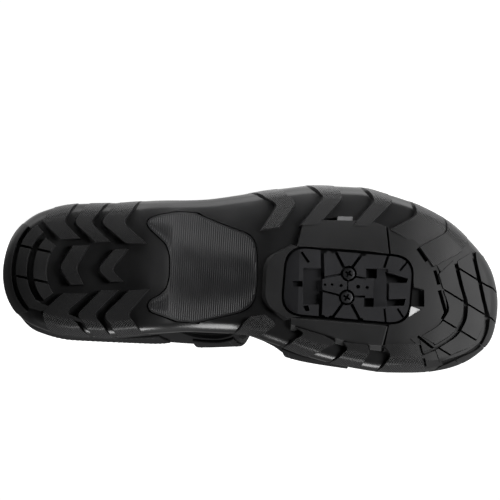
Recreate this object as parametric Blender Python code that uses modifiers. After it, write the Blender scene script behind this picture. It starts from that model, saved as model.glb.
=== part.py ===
"""A cycling sandal for the right foot, lying on its lateral side with its sole facing -Y.

The shoe is worked out standing, in millimetres: X runs from heel to toe, Y to the medial side
and Z up from the ground. One empty then lays it on the floor, with its box centred on the origin.
"""
import math
from itertools import product

import bmesh
import bpy
import numpy as np
from mathutils import Matrix, Vector

MM = 0.001
MERGE = 1e-6

# Overall sizes
LENGTH = 291.4
BOLT_SPACING = 14.0
LATERAL_FACING = -0.8
GAP = 0.3

# Outsole: a skin with lugs, rolled up at its edge
LUG = 4.2
SIDE_LUG = 0.8
ROLL = 6.0
ROLL_SHARES = (0.0, 0.12, 0.42, 1.0)
CORE = 9.0
ROOT = 1.0
CLIMB = 2.2
RIM_STEPS = 6
SOLE_STATIONS = 40
SLIT = 1.2

# Upper: one wall over the last, with layers on it
WALL = 2.4
LAYER = 1.7
LAYER_GAP = 0.5
HEEL_RUN = 34.0
HEEL_BACK = 7.0
HEEL_REACH = 70.0
HEEL_LEAN = 17.0
HEEL_BULGE = 0.62
UPPER_STATIONS = 31
UPPER_ACROSS = 23
STRAP_ACROSS = 17
STRAP_STATIONS = 5
COUNTER_STATIONS = 31
COUNTER_ROWS = 6

# Insole: a cupped bed inside the wall
INSOLE = 4.0
INSOLE_GAP = 0.6
INSOLE_EDGE = 1.2
INSOLE_CUP = 4.0
CUP_CENTRE = 60.0
CUP_REACH = 110.0
INSOLE_STATIONS = 31
INSOLE_ACROSS = (-1.0, -0.86, -0.5, 0.0, 0.5, 0.86, 1.0)

# Plan of the sole, a row for each station from heel to toe
OUTLINE = (
    ("x", "lateral", "medial"),
    (0, -1.0, -1.0),
    (4, -19.4, 16.4),
    (10, -27.0, 24.8),
    (20, -34.2, 31.4),
    (40, -40.8, 36.0),
    (60, -42.8, 36.2),
    (90, -45.2, 32.6),
    (115, -47.7, 31.0),
    (140, -52.4, 30.4),
    (160, -57.1, 34.2),
    (180, -60.2, 40.6),
    (205, -60.5, 45.4),
    (225, -56.8, 47.4),
    (245, -50.8, 46.4),
    (260, -43.8, 43.4),
    (272, -34.8, 38.6),
    (281.5, -25.2, 31.6),
    (288, -14.0, 23.6),
    (291.4, 4.0, 4.0),
)

# Heights along the sole: the skin between the lugs, and the bed that the foot stands over
PROFILE = (
    ("x", "skin", "bed"),
    (0, 10.5, 30.0),
    (6, 8.0, 29.4),
    (14, 5.4, 28.8),
    (24, 4.2, 28.3),
    (70, 4.2, 27.2),
    (85, 2.6, 26.8),
    (104, 5.0, 25.9),
    (120, 6.4, 24.6),
    (136, 5.6, 23.2),
    (152, 4.2, 21.8),
    (232, 4.2, 18.6),
    (250, 6.2, 19.4),
    (268, 10.6, 22.8),
    (291.4, 17.9, 30.0),
)

# Side of the midsole, from its foot to its rim: share of the height, and how far it is set in
MIDSOLE_SIDE = (
    ("height", "lateral_inset", "medial_inset"),
    (0.0, 0.9, 0.6),
    (0.30, 1.2, 0.6),
    (0.42, 2.4, 1.6),
    (0.58, 2.6, 1.6),
    (0.70, 1.9, 0.6),
    (1.0, 3.0, 1.2),
)

# The last: feather line, flare of each side, ridge along the top, and how square the section is
LAST = (
    ("x", "lateral", "medial", "lateral_flare", "medial_flare", "top", "ridge", "shoulder"),
    (7, 0.5, 0.5, 0, 0, 100, 0.5, 0.80),
    (12, -17.0, 17.2, 0, 0, 101, 0.4, 0.80),
    (22, -26.5, 26.4, 1, 1, 103, 0.3, 0.86),
    (42, -33.0, 30.2, 2, 0.4, 105, 0.0, 0.92),
    (64, -35.2, 30.2, 3, 0.2, 106, 0.0, 0.94),
    (90, -37.0, 28.0, 3, 6.5, 104, 1.0, 0.80),
    (115, -39.0, 26.4, 5, 13, 98, 2.5, 0.64),
    (140, -43.2, 25.6, 9, 12, 87, 4.0, 0.60),
    (160, -47.6, 29.2, 13, 11, 77, 5.0, 0.62),
    (180, -50.8, 35.4, 14, 8, 68.5, 5.5, 0.64),
    (205, -51.4, 39.6, 12, 5, 59.5, 5.0, 0.66),
    (225, -48.0, 41.6, 8, 4, 53, 4.0, 0.68),
    (245, -41.6, 40.6, 5, 3, 48, 2.0, 0.70),
    (262, -33.0, 36.6, 3, 2, 44, 2.0, 0.70),
    (276, -20.0, 28.6, 1, 1, 42, 3.0, 0.70),
    (284, 7.0, 7.0, 0, 0, 41, 7.0, 0.70),
)

# Cut lines of the upper seen from the side
COLLAR = (
    ("x", "z"),
    (-20, 86),
    (6, 85),
    (26, 77),
    (50, 69),
    (72, 69),
    (88, 77),
    (104, 97),
    (118, 130),
)
COLLAR_STEPS = 22
STRAP_GAP = ((138, 27), (163, 27), (178, 64), (187, 100), (162, 110), (150, 74))
STRAP_GAP_ROUND = 5.0
OBLIQUE = 0.16
MEDIAL_WALL = 36.0
CUT_REACH = 80.0

# Front edge of the forefoot strap, by the share of the way across from lateral to medial
TOE_EDGE = (("share", "x"), (-1.0, 203), (-0.5, 208), (0.0, 211), (0.5, 213), (1.0, 216))

# Layers on the upper, by the share across: where each starts and ends along the shoe
FOREFOOT_STRAP = (
    ("share", "back", "front"),
    (0.97, 167, 205),
    (0.70, 170, 206),
    (0.40, 173, 206),
    (0.0, 176, 205),
    (-0.30, 173, 201),
    (-0.52, 169, 194),
    (-0.60, 173, 189),
)
INSTEP_STRAP = (
    ("share", "back", "front"),
    (0.97, 113, 137),
    (0.70, 116, 141.5),
    (0.40, 119, 145.5),
    (0.0, 118, 145),
    (-0.30, 111, 138.5),
    (-0.50, 105.5, 131.5),
    (-0.58, 109, 126.5),
)
COUNTER = (
    ("x", "medial_share", "lateral_share"),
    (7, 0.60, 0.60),
    (30, 0.66, 0.66),
    (60, 0.74, 0.74),
    (88, 0.78, 0.82),
    (100, 0.84, 0.86),
)
COUNTER_FOOT = 0.975

# Chevron lugs: rear edge from the rim over the apex to the inner end, how far each point runs
# forward to the front edge, how far that edge is shifted to the medial side and how much lower it is
CHEVRONS = (
    ("outer_x", "outer_y", "apex_x", "apex_y", "inner_x", "inner_y",
     "outer_run", "apex_run", "inner_run", "shift", "drop"),
    (30.3, -40.5, 22.0, -28.6, 33.0, -18.9, 11.5, 12.0, 11.5, -0.8, 0),
    (51.3, -45.3, 40.5, -29.2, 53.4, -18.3, 11.5, 9.3, 8.7, -0.6, 0),
    (69.3, -47.3, 56.2, -30.1, 71.5, -18.6, 11.5, 12.6, 11.6, -0.6, 0),
    (41.0, -15.2, 33.8, -1.9, 40.8, 7.6, 8.6, 9.0, 7.0, -0.6, 0),
    (65.2, -14.4, 56.0, -2.0, 64.0, 4.6, 7.6, 7.6, 7.0, -0.6, 0),
    (32, 38.4, 25.0, 24.8, 37.0, 13.0, 23.0, 13.8, 13.8, -0.6, 0),
    (60, 39.4, 45.3, 25.4, 59.0, 10.1, 9.4, 9.8, 9.8, -0.6, 0),
    (73, 38.4, 61.0, 24.6, 75.3, 9.2, 15.0, 13.6, 11.0, -1.2, 0),
    (136.5, -56.2, 156.8, -46.3, 148.0, -31.0, 17.5, 10.4, 9.8, -2.0, 0),
    (167.6, -63.2, 184.2, -52.4, 171.0, -35.0, 19.0, 11.6, 12.0, -0.6, 0.6),
    (201.3, -63.8, 214.5, -53.0, 201.4, -36.4, 17.0, 11.2, 10.6, 0.0, 0.6),
    (232.6, -57.2, 239.5, -46.2, 225.5, -34.9, 21.2, 18.2, 16.2, 8.4, 1.6),
    (255.2, -49.0, 259.3, -36.2, 243.0, -26.0, 17.0, 8.6, 8.6, 11.0, 0.8),
    (135, 34.4, 141.5, 25.6, 147.0, 20.3, 17.0, 20.6, 7.8, -1.4, 0),
    (164, 38.2, 178.8, 28.9, 171.0, 27.2, 15.0, 19.0, 18.6, 4.0, 0),
    (192, 45.6, 204.5, 36.8, 201.4, 32.4, 19.0, 12.4, 13.4, 0.8, 0),
    (221, 50.2, 229.9, 39.2, 224.8, 32.8, 29.0, 17.2, 20.0, -2.0, 0),
)

# Raised ground round the cleat pocket: its inner and outer edges, a row for each corner
POCKET_COLLAR = (
    ("in_x", "in_y", "out_x", "out_y"),
    (176, -21.8, 168, -22.0),
    (167.4, -14.6, 154.6, -14.8),
    (163.8, -6.0, 152.6, -6.5),
    (163.8, 6.0, 152.6, 6.0),
    (167.4, 14.6, 155.0, 13.4),
    (176, 19.4, 167.0, 19.4),
)
TOE_GROUND = (
    ("in_x", "in_y", "out_x", "out_y"),
    (226.6, -20.0, 226.8, -32.6),
    (231.0, -19.0, 235.2, -27.6),
    (235.6, -14.6, 241.6, -23.6),
    (239.8, -8.0, 247.2, -16.0),
    (240.8, 0.0, 253.6, -4.0),
    (240.6, 7.0, 257.0, 9.0),
    (236.2, 15.0, 252.6, 17.4),
    (231.4, 19.2, 243.0, 25.6),
    (228.0, 21.0, 226.8, 30.6),
)
LATERAL_BAR = (
    ("in_x", "in_y", "out_x", "out_y"),
    (171.5, -22.4, 174.0, -35.2),
    (200.0, -22.4, 200.0, -36.6),
    (215.0, -21.8, 213.4, -37.6),
    (225.0, -20.6, 222.4, -35.8),
)
MEDIAL_BAR = (
    ("in_x", "in_y", "out_x", "out_y"),
    (169.6, 19.9, 170.0, 25.3),
    (190.0, 20.4, 190.6, 28.6),
    (210.0, 21.0, 209.0, 30.6),
    (226.4, 21.6, 224.0, 31.2),
)
BAR = 3.5
COLLAR_LUG = 3.3
TOE_LUG = 3.4

# Bands at the heel and the toe, cut by slits along slanted rows: the two lines between which each
# lies, and the rows where the lateral and medial end of each line is. A line at the heel is the rim
# drawn in towards a centre; at the toe it is the rim or the edge of a groove.
HEEL_CENTRE = (60.0, 0.0)
HEEL_BANDS = (
    ("outer", "inner", "outer_from", "inner_from", "outer_to", "inner_to"),
    (1.04, 0.902, -31.0, -28.0, 24.6, 21.8),
    (0.863, 0.767, -30.0, -26.5, 21.4, 15.3),
    (0.709, 0.563, -23.4, -20.6, 13.4, 8.4),
)
HEEL_SLIT_ANGLE = math.radians(9.0)
HEEL_SLITS = (-15.3, 2.5)
TOE_CENTRE = (233.0, 2.0)
TOE_GROOVE = 1.8
TOE_GROOVES = (
    ("row", "rear", "middle", "front"),
    (-149.0, 196.0, 215.5, 230.8),
    (-137.0, 208.0, 226.4, 242.0),
    (-124.5, 220.7, 238.0, 253.2),
    (-117.0, 228.4, 245.2, 259.6),
    (-107.0, 237.4, 249.0, 262.6),
    (-101.2, 237.2, 249.2, 262.8),
    (-86.0, 230.6, 243.1, 254.2),
    (-74.0, 224.0, 236.0, 246.0),
)
TOE_BANDS = (
    ("outer", "inner", "outer_from", "inner_from", "outer_to", "inner_to"),
    ("rim", "front", -149.6, -146.4, -70.0, -78.0),
    ("front", "middle", -145.2, -136.4, -79.0, -83.0),
    ("middle", "rear", -135.6, -124.0, -86.0, -86.0),
)
TOE_SLIT_ANGLE = math.radians(26.5)
TOE_SLITS = (-132.7, -117.1, -101.2, -85.6)
BAND_STEP = 7.5

# Arch plate: a row for each line along it, from its lateral tip to its medial tip
ARCH_PLATE = (
    ("y", "back", "front"),
    (-39.2, 103.0, 111.0),
    (-36.6, 91.0, 118.0),
    (-33.8, 84.6, 126.0),
    (-31.4, 83.2, 133.5),
    (-28.4, 84.8, 142.0),
    (-24.4, 89.4, 146.0),
    (-18.7, 95.4, 147.6),
    (-11.0, 97.8, 148.5),
    (-2.0, 98.2, 149.0),
    (6.0, 96.8, 148.6),
    (10.6, 93.0, 147.6),
    (14.2, 87.8, 145.4),
    (17.0, 86.6, 141.0),
    (20.4, 88.2, 130.6),
    (22.9, 96.0, 122.0),
    (25.0, 104.0, 113.6),
)
PLATE_GAP = 0.6
PLATE_SEAT = 1.8
PLATE_PROUD = 0.6
PLATE_STEPS = 6

# Cleat pocket, and the cover that fills it
POCKET_CENTRE = (202.0, -1.0)
POCKET_SIZE = (75.0, 40.5)
POCKET_CORNER = 13.0
POCKET_TURN = math.radians(1.8)
POCKET_FLOOR = 8.6
COVER_GAP = 0.6
COVER_FACE = 1.2
SCREW_WELL = 5.0
SCREW_HEAD = 3.7
SCREW_SUNK = 0.2
SCREW_EDGE = 0.5
SCREW_SIDES = 20
WELL_DEPTH = 2.4
COVER_RECESSES = (
    ("centre_x", "centre_y", "size_x", "size_y", "depth"),
    (178.6, 0.6, 13.0, 21.0, 2.2),
    (217.0, -0.8, 9.6, 22.0, 1.2),
    (224.0, -9.4, 22.4, 5.4, 2.4),
    (223.0, 7.6, 20.6, 5.0, 2.4),
)
PRY_SLOT = (("centre_x", "centre_y", "size_x", "size_y"), (243.4, 3.4, 7.0, 11.4))
PRY_DEPTH = 1.8

FINISHES = {
    "rubber": ((0.018, 0.018, 0.020), 0.62),
    "foam": ((0.024, 0.024, 0.026), 0.80),
    "nylon": ((0.026, 0.026, 0.028), 0.48),
    "cover": ((0.034, 0.034, 0.038), 0.52),
    "steel": ((0.10, 0.10, 0.105), 0.40),
    "bed": ((0.040, 0.040, 0.042), 0.88),
    "upper": ((0.020, 0.020, 0.022), 0.70),
    "strap": ((0.016, 0.016, 0.018), 0.60),
}
METALS = {"steel"}


def columns(table):
    """Returns a table's columns by name."""
    return {name: np.array([row[i] for row in table[1:]], float) for i, name in enumerate(table[0])}


def glide(xs, ys, x):
    """Reads a smooth curve through the rows of a table, which never overshoots them."""
    x = np.clip(np.asarray(x, float), xs[0], xs[-1])
    step = np.diff(xs)
    rise = np.diff(ys) / step
    product_of_rises = rise[:-1] * rise[1:]
    slope = np.concatenate([rise[:1], np.zeros(len(xs) - 2), rise[-1:]])
    turning = product_of_rises > 0
    slope[1:-1][turning] = 2 * product_of_rises[turning] / (rise[:-1] + rise[1:])[turning]
    k = np.clip(np.searchsorted(xs, x, side="right") - 1, 0, len(xs) - 2)
    t = (x - xs[k]) / step[k]
    start = ys[k] * (2 * t**3 - 3 * t**2 + 1) + slope[k] * step[k] * (t**3 - 2 * t**2 + t)
    end = ys[k + 1] * (3 * t**2 - 2 * t**3) + slope[k + 1] * step[k] * (t**3 - t**2)
    return start + end


PROFILE_COLUMNS = columns(PROFILE)


def height(name, x):
    """Height of the skin or the bed at a station."""
    return glide(PROFILE_COLUMNS["x"], PROFILE_COLUMNS[name], x)


def plan_turn(x):
    """Turns a station into an angle, so that the round ends of a plan are spread evenly."""
    return np.arccos(np.clip(1 - 2 * np.asarray(x, float) / LENGTH, -1, 1))


def rim(turn, side):
    """Plan points on one side of the sole's rim."""
    rows = columns(OUTLINE)
    x = LENGTH * (1 - np.cos(turn)) / 2
    return np.stack([x, glide(plan_turn(rows["x"]), rows[side], turn)], -1)


def closed_rim(steps):
    """The rim as one loop, up the medial side and back down the lateral one."""
    turn = np.linspace(0, math.pi, steps + 1)
    return np.concatenate([rim(turn, "medial"), rim(turn[::-1], "lateral")[1:-1]])


RIM = closed_rim(260)
RIM_NEXT = np.roll(RIM, -1, axis=0)
RIM_RUN = RIM_NEXT - RIM
RIM_OUT = np.stack([-RIM_RUN[:, 1], RIM_RUN[:, 0]], -1) / np.linalg.norm(RIM_RUN, axis=1)[:, None]


def rim_depth(plan):
    """How far plan points lie inside the rim, and the outward direction of the rim beside them."""
    flat = plan.reshape(-1, 2)
    reach = flat[:, None, :] - RIM[None]
    share = np.clip((reach * RIM_RUN).sum(-1) / (RIM_RUN**2).sum(-1), 0, 1)
    away = reach - share[..., None] * RIM_RUN
    nearest = np.argmin((away**2).sum(-1), axis=1)
    pick = np.arange(len(flat)), nearest
    out = RIM_OUT[nearest]
    depth = -(away[pick] * out).sum(-1)
    return depth.reshape(plan.shape[:-1]), out.reshape(plan.shape)


def on_sole(plan, proud):
    """Places plan points on the skin or proud of it; past the rim they climb the side."""
    plan = np.asarray(plan, float)
    depth, out = rim_depth(plan)
    sine = np.clip((ROLL - depth) / ROLL, 0, 1)
    cosine = np.sqrt(1 - sine**2)
    spot = plan + out * (np.minimum(depth, 0) + proud * sine)[..., None]
    climb = ROLL * (1 - cosine) + CLIMB * (1 - np.exp(np.minimum(depth, 0) / CLIMB))
    lift = height("skin", plan[..., 0]) + climb - proud * cosine
    return np.concatenate([spot, lift[..., None]], -1)


def tread(plan, lug):
    """The ground face of a lug, which stops at the ground and thins out where it wraps onto the side."""
    depth, _ = rim_depth(np.asarray(plan, float))
    flat = np.clip(depth / ROLL, 0, 1)
    flat = flat * flat * (3 - 2 * flat)
    tall = np.minimum(lug, height("skin", plan[..., 0]))
    return on_sole(plan, SIDE_LUG + (tall - SIDE_LUG) * flat)


def slab(face, back, open_start=False):
    """The six sides of a body between two grids of equal size; a folded start needs no side."""
    ends = [np.stack([face[-1], back[-1]])]
    if not open_start:
        ends.append(np.stack([face[0], back[0]]))
    sides = [np.stack([face[:, j], back[:, j]]) for j in (0, -1)]
    return [face, back, *ends, *sides]


def mesh_of(name, patches):
    """One closed mesh from grids of points that share their borders."""
    body = bmesh.new()
    for patch in patches:
        rows, across = patch.shape[:2]
        corner = [[body.verts.new(Vector(point) * MM) for point in row] for row in patch]
        for i, j in product(range(rows - 1), range(across - 1)):
            body.faces.new((corner[i][j], corner[i][j + 1], corner[i + 1][j + 1], corner[i + 1][j]))
    bmesh.ops.remove_doubles(body, verts=body.verts, dist=MERGE)
    bmesh.ops.dissolve_degenerate(body, dist=MERGE, edges=body.edges)
    bmesh.ops.recalc_face_normals(body, faces=body.faces)
    mesh = bpy.data.meshes.new(name)
    body.to_mesh(mesh)
    body.free()
    return mesh


def finish(name):
    """A Principled finish by name."""
    material = bpy.data.materials.get(name) or bpy.data.materials.new(name)
    material.use_nodes = True
    shader = material.node_tree.nodes["Principled BSDF"]
    colour, roughness = FINISHES[name]
    shader.inputs["Base Color"].default_value = (*colour, 1.0)
    shader.inputs["Roughness"].default_value = roughness
    shader.inputs["Metallic"].default_value = float(name in METALS)
    return material


def piece(name, mesh, material):
    """Adds one sub-part to the sandal."""
    part = bpy.data.objects.new(name, mesh)
    mesh.materials.append(finish(material))
    SANDAL.objects.link(part)
    part.parent = LAID
    return part


def cutter(name, mesh):
    """Adds a helper that is joined to a piece or cut from it."""
    tool = bpy.data.objects.new(name, mesh)
    tool.hide_render = True
    tool.display_type = "WIRE"
    CUTTERS.objects.link(tool)
    tool.parent = LAID
    return tool


def combine(part, tool, operation):
    """Joins a helper to a piece or cuts it away."""
    modifier = part.modifiers.new(tool.name, "BOOLEAN")
    modifier.operation = operation
    modifier.object = tool


def prism(outline, low, high):
    """The sides and ends of a straight body over a flat outline, in plan."""
    bottom = np.column_stack([outline, np.full(len(outline), low)])
    top = np.column_stack([outline, np.full(len(outline), high)])
    return bottom, top


def prism_mesh(name, bodies):
    """One mesh of straight bodies, each given as its two end loops."""
    mesh = bmesh.new()
    for bottom, top in bodies:
        loops = [[mesh.verts.new(Vector(point) * MM) for point in loop] for loop in (bottom, top)]
        count = len(loops[0])
        mesh.faces.new(loops[0])
        mesh.faces.new(loops[1])
        for i in range(count):
            j = (i + 1) % count
            mesh.faces.new((loops[0][i], loops[0][j], loops[1][j], loops[1][i]))
    bmesh.ops.recalc_face_normals(mesh, faces=mesh.faces)
    data = bpy.data.meshes.new(name)
    mesh.to_mesh(data)
    mesh.free()
    return data


def rounded(corners, radius, steps=4):
    """An outline with its corners rounded off."""
    corners = np.asarray(corners, float)
    points = []
    for before, here, after in zip(np.roll(corners, 1, 0), corners, np.roll(corners, -1, 0)):
        to_before = (before - here) / np.linalg.norm(before - here)
        to_after = (after - here) / np.linalg.norm(after - here)
        start = here + to_before * radius
        end = here + to_after * radius
        for t in np.linspace(0, 1, steps + 1):
            points.append((1 - t)**2 * start + 2 * t * (1 - t) * here + t**2 * end)
    return np.array(points)


def box_outline(centre, size, turn=0.0):
    """The corners of a rectangle, in plan."""
    half = np.array(size) / 2
    corners = np.array([(-1, -1), (1, -1), (1, 1), (-1, 1)]) * half
    sine, cosine = math.sin(turn), math.cos(turn)
    return corners @ np.array([[cosine, sine], [-sine, cosine]]) + np.array(centre)


def disc(centre, radius):
    """A many-sided circle, in plan."""
    turn = np.linspace(0, 2 * math.pi, SCREW_SIDES, endpoint=False)
    return np.array(centre) + radius * np.stack([np.cos(turn), np.sin(turn)], -1)


def walk(points, steps):
    """Points along a line of corners, with a number of steps for each leg."""
    points = np.asarray(points, float)
    legs = [np.linspace(a, b, n, endpoint=False) for a, b, n in zip(points[:-1], points[1:], steps)]
    return np.concatenate([*legs, points[-1:]])


def lug(rear, front, tall):
    """A lug between two lines across the sole, rooted in the skin."""
    plan = np.stack([rear, front], 1)
    return slab(tread(plan, tall), on_sole(plan, -ROOT))


def chevron_lugs():
    """The V-shaped lugs; the outer arm has more steps, because it bends over the rim."""
    for row in CHEVRONS[1:]:
        at = dict(zip(CHEVRONS[0], row))
        ends = ("outer", "apex", "inner")
        rear = [(at[f"{end}_x"], at[f"{end}_y"]) for end in ends]
        front = [(at[f"{end}_x"] + at[f"{end}_run"], at[f"{end}_y"] + at["shift"]) for end in ends]
        steps = (RIM_STEPS, 2) if rim_depth(np.array(rear[0]))[0] < 0 else (1, 1)
        yield lug(walk(rear, steps), walk(front, steps), LUG - np.array((0.0, at["drop"])))


def edged_lugs():
    """The bars beside the cleat pocket and the raised ground before and behind it."""
    for table, tall in (
        (POCKET_COLLAR, COLLAR_LUG),
        (TOE_GROUND, TOE_LUG),
        (LATERAL_BAR, BAR),
        (MEDIAL_BAR, BAR),
    ):
        at = columns(table)
        inner = np.stack([at["in_x"], at["in_y"]], -1)
        outer = np.stack([at["out_x"], at["out_y"]], -1)
        yield lug(inner, outer, tall)


def drawn_rim(scale, rows, angle, centre):
    """Points on the rim drawn in towards a centre, where slanted rows across the sole meet it."""
    beyond = (RIM[:, 0] - centre[0]) * (centre[0] - LENGTH / 2) > 0
    line = np.array(centre) + (RIM[beyond] - np.array(centre)) * scale
    row = line[:, 1] * math.cos(angle) - line[:, 0] * math.sin(angle)
    order = np.argsort(row)
    return np.stack([np.interp(rows, row[order], line[order, i]) for i in range(2)], -1)


def heel_line(scale, edge, rows):
    """An edge of a heel band."""
    return drawn_rim(scale, rows, HEEL_SLIT_ANGLE, HEEL_CENTRE)


def toe_line(groove, edge, rows):
    """An edge of a toe band: past the rim, or on the near side of a groove."""
    if groove == "rim":
        return drawn_rim(1.04, rows, TOE_SLIT_ANGLE, TOE_CENTRE)
    at = columns(TOE_GROOVES)
    along = glide(at["row"], at[groove], rows) + TOE_GROOVE / 2 * (-1 if edge == "outer" else 1)
    sine, cosine = math.sin(TOE_SLIT_ANGLE), math.cos(TOE_SLIT_ANGLE)
    return np.stack([along * cosine - rows * sine, along * sine + rows * cosine], -1)


def bands(table, slits, line):
    """Lugs between two lines in lengths between the slits, with steps across them to bend over the rim."""
    for row in table[1:]:
        at = dict(zip(table[0], row))
        inside = [slit for slit in slits if at["inner_from"] < slit < at["inner_to"]]
        stops = {edge: (at[f"{edge}_from"], *inside, at[f"{edge}_to"]) for edge in ("outer", "inner")}
        for k in range(len(inside) + 1):
            edges = []
            count = 1 + math.ceil((stops["outer"][k + 1] - stops["outer"][k]) / BAND_STEP)
            for edge in ("outer", "inner"):
                rows = np.linspace(stops[edge][k] + SLIT / 2, stops[edge][k + 1] - SLIT / 2, count + 1)
                edges.append(line(at[edge], edge, rows))
            across = np.linspace(0, 1, 5 if rim_depth(edges[0])[0].min() < 0 else 3)
            plan = np.stack([edges[0] + (edges[1] - edges[0]) * t for t in across], 1)
            yield slab(tread(plan, LUG), on_sole(plan, -ROOT))


def arch_plate_grid(margin, proud):
    """The arch plate's face at a height over the skin, grown by a margin."""
    at = columns(ARCH_PLATE)
    along = np.linspace(0, 1, PLATE_STEPS + 1)
    back, front = [at[edge] + side * margin * np.hypot(1, np.gradient(at[edge], at["y"]))
                   for edge, side in (("back", -1), ("front", 1))]
    run = front - back
    y = at["y"].copy()
    y[0] -= margin
    y[-1] += margin
    plan = np.stack([back[:, None] + run[:, None] * along, np.repeat(y[:, None], len(along), 1)], -1)
    return on_sole(plan, proud)


def sole_rows(stations, insets, across):
    """Plan points in rows from the lateral rim to the medial rim."""
    turn = np.linspace(0, math.pi, stations + 1)
    sides = []
    for side, sign in (("lateral", -1), ("medial", 1)):
        line = rim(turn, side)
        run = np.gradient(line, axis=0)
        run[0] = (0, sign)
        run[-1] = (0, -sign)
        out = sign * np.stack([-run[:, 1], run[:, 0]], -1) / np.linalg.norm(run, axis=1)[:, None]
        sides.append(np.stack([line - out * inset for inset in insets], 1))
    lateral, medial = sides[0], sides[1][:, ::-1]
    steps = np.linspace(0, 1, across + 1)[1:-1]
    between = lateral[:, -1:] + (medial[:, :1] - lateral[:, -1:]) * steps[None, :, None]
    return np.concatenate([lateral, between, medial], 1)


def outsole():
    """Rubber outsole: a rolled skin with its lugs, and seats for the arch plate and the cover."""
    plan = sole_rows(SOLE_STATIONS, [share * ROLL for share in ROLL_SHARES], 3)
    skin = on_sole(plan, 0.0)
    rims = plan[:, [0, -1]]
    seat = np.concatenate([rims, (height("skin", rims[..., 0]) + CORE)[..., None]], -1)
    walls = [np.stack([skin[:, j], seat[:, j]]) for j in (0, -1)]
    part = piece("outsole", mesh_of("outsole", [skin, seat, *walls]), "rubber")
    for name, lugs in (
        ("chevron_lugs", chevron_lugs()),
        ("edged_lugs", edged_lugs()),
        ("heel_bands", bands(HEEL_BANDS, HEEL_SLITS, heel_line)),
        ("toe_bands", bands(TOE_BANDS, TOE_SLITS, toe_line)),
    ):
        patches = [patch for body in lugs for patch in body]
        combine(part, cutter(name, mesh_of(name, patches)), "UNION")
    seat_cut = slab(arch_plate_grid(PLATE_GAP, 2 * LUG), arch_plate_grid(PLATE_GAP, -PLATE_SEAT))
    combine(part, cutter("arch_plate_seat", mesh_of("arch_plate_seat", seat_cut)), "DIFFERENCE")
    hole = rounded(box_outline(POCKET_CENTRE, POCKET_SIZE, POCKET_TURN), POCKET_CORNER)
    pocket = prism_mesh("cleat_pocket", [prism(hole, -LUG, POCKET_FLOOR)])
    combine(part, cutter("cleat_pocket", pocket), "DIFFERENCE")
    slot = dict(zip(PRY_SLOT[0], PRY_SLOT[1]))
    slot_plan = box_outline((slot["centre_x"], slot["centre_y"]), (slot["size_x"], slot["size_y"]))
    pry = prism_mesh("pry_slot", [prism(slot_plan, -LUG, LUG + PRY_DEPTH)])
    combine(part, cutter("pry_slot", pry), "DIFFERENCE")


def arch_plate():
    """Ribbed stiffener let into the waist of the outsole."""
    faces = slab(arch_plate_grid(0.0, PLATE_PROUD), arch_plate_grid(0.0, PLATE_GAP - PLATE_SEAT))
    piece("arch_plate", mesh_of("arch_plate", faces), "nylon")


def screw_places():
    """The two cleat bolts, across the sole."""
    turn = np.array([-math.sin(POCKET_TURN), math.cos(POCKET_TURN)])
    return [np.array(POCKET_CENTRE) + turn * BOLT_SPACING / 2 * side for side in (-1, 1)]


def cleat_cover():
    """Cover that closes the cleat pocket, held by two bolts in wells."""
    size = np.array(POCKET_SIZE) - 2 * COVER_GAP
    outline = rounded(box_outline(POCKET_CENTRE, size, POCKET_TURN), POCKET_CORNER - COVER_GAP)
    cover = prism_mesh("cleat_cover", [prism(outline, COVER_FACE, POCKET_FLOOR - GAP)])
    part = piece("cleat_cover", cover, "cover")
    recesses = []
    for row in COVER_RECESSES[1:]:
        at = dict(zip(COVER_RECESSES[0], row))
        place = (at["centre_x"], at["centre_y"])
        plan = box_outline(place, (at["size_x"], at["size_y"]), POCKET_TURN)
        recesses.append((f"cover_recess_{len(recesses) + 1}", plan, at["depth"]))
    for place in screw_places():
        recesses.append((f"screw_well_{len(recesses) + 1}", disc(place, SCREW_WELL), WELL_DEPTH))
    for name, plan, depth in recesses:
        hollow = prism_mesh(name, [prism(plan, -LUG, COVER_FACE + depth)])
        combine(part, cutter(name, hollow), "DIFFERENCE")


def cleat_screws():
    """Two cross-headed cleat bolts, seated in their wells."""
    for side, place in zip(("lateral", "medial"), screw_places()):
        head = prism(disc(place, SCREW_HEAD), COVER_FACE + SCREW_SUNK, COVER_FACE + WELL_DEPTH - GAP)
        part = piece(f"cleat_screw_{side}", prism_mesh(f"cleat_screw_{side}", [head]), "steel")
        bevel = part.modifiers.new("edge", "BEVEL")
        bevel.width = SCREW_EDGE * MM
        bevel.segments = 1
        bevel.angle_limit = math.radians(60)


def midsole():
    """Foam midsole on the outsole's seat, with a groove round its side."""
    at = columns(MIDSOLE_SIDE)
    layers = []
    for share, lateral, medial in zip(at["height"], at["lateral_inset"], at["medial_inset"]):
        lines = [sole_rows(SOLE_STATIONS, (0.0, inset), 2) for inset in (lateral, medial)]
        pair = np.stack([lines[0][:, 1], lines[1][:, -2]], 1)
        foot = height("skin", pair[..., 0]) + CORE + GAP
        lift = foot + (height("bed", pair[..., 0]) - foot) * share
        layers.append(np.concatenate([pair, lift[..., None]], -1))
    layers = np.array(layers)
    ends = (0, -1)
    for end in ends:
        layers[:, end] = layers[:, end].mean(axis=1, keepdims=True)
    sides = [layers[:, :, j] for j in (0, 1)]
    piece("midsole", mesh_of("midsole", [layers[0], layers[-1], *sides]), "foam")


LAST_COLUMNS = columns(LAST)


def last_turn(x):
    """Station angle of the last: round at the heel, then straight."""
    x = np.asarray(x, float)
    share = (x - HEEL_BACK) / HEEL_RUN
    return np.where(share < 1, np.arccos(np.clip(1 - share, -1, 1)), math.pi / 2 + share - 1)


def last_x(turn):
    """The station that an angle stands for."""
    bend = HEEL_RUN * (1 - np.cos(np.minimum(turn, math.pi / 2)))
    return HEEL_BACK + bend + HEEL_RUN * np.maximum(turn - math.pi / 2, 0)


def last_row(name, turn):
    """A column of the last, read smoothly along it."""
    return glide(last_turn(LAST_COLUMNS["x"]), LAST_COLUMNS[name], turn)


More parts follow.
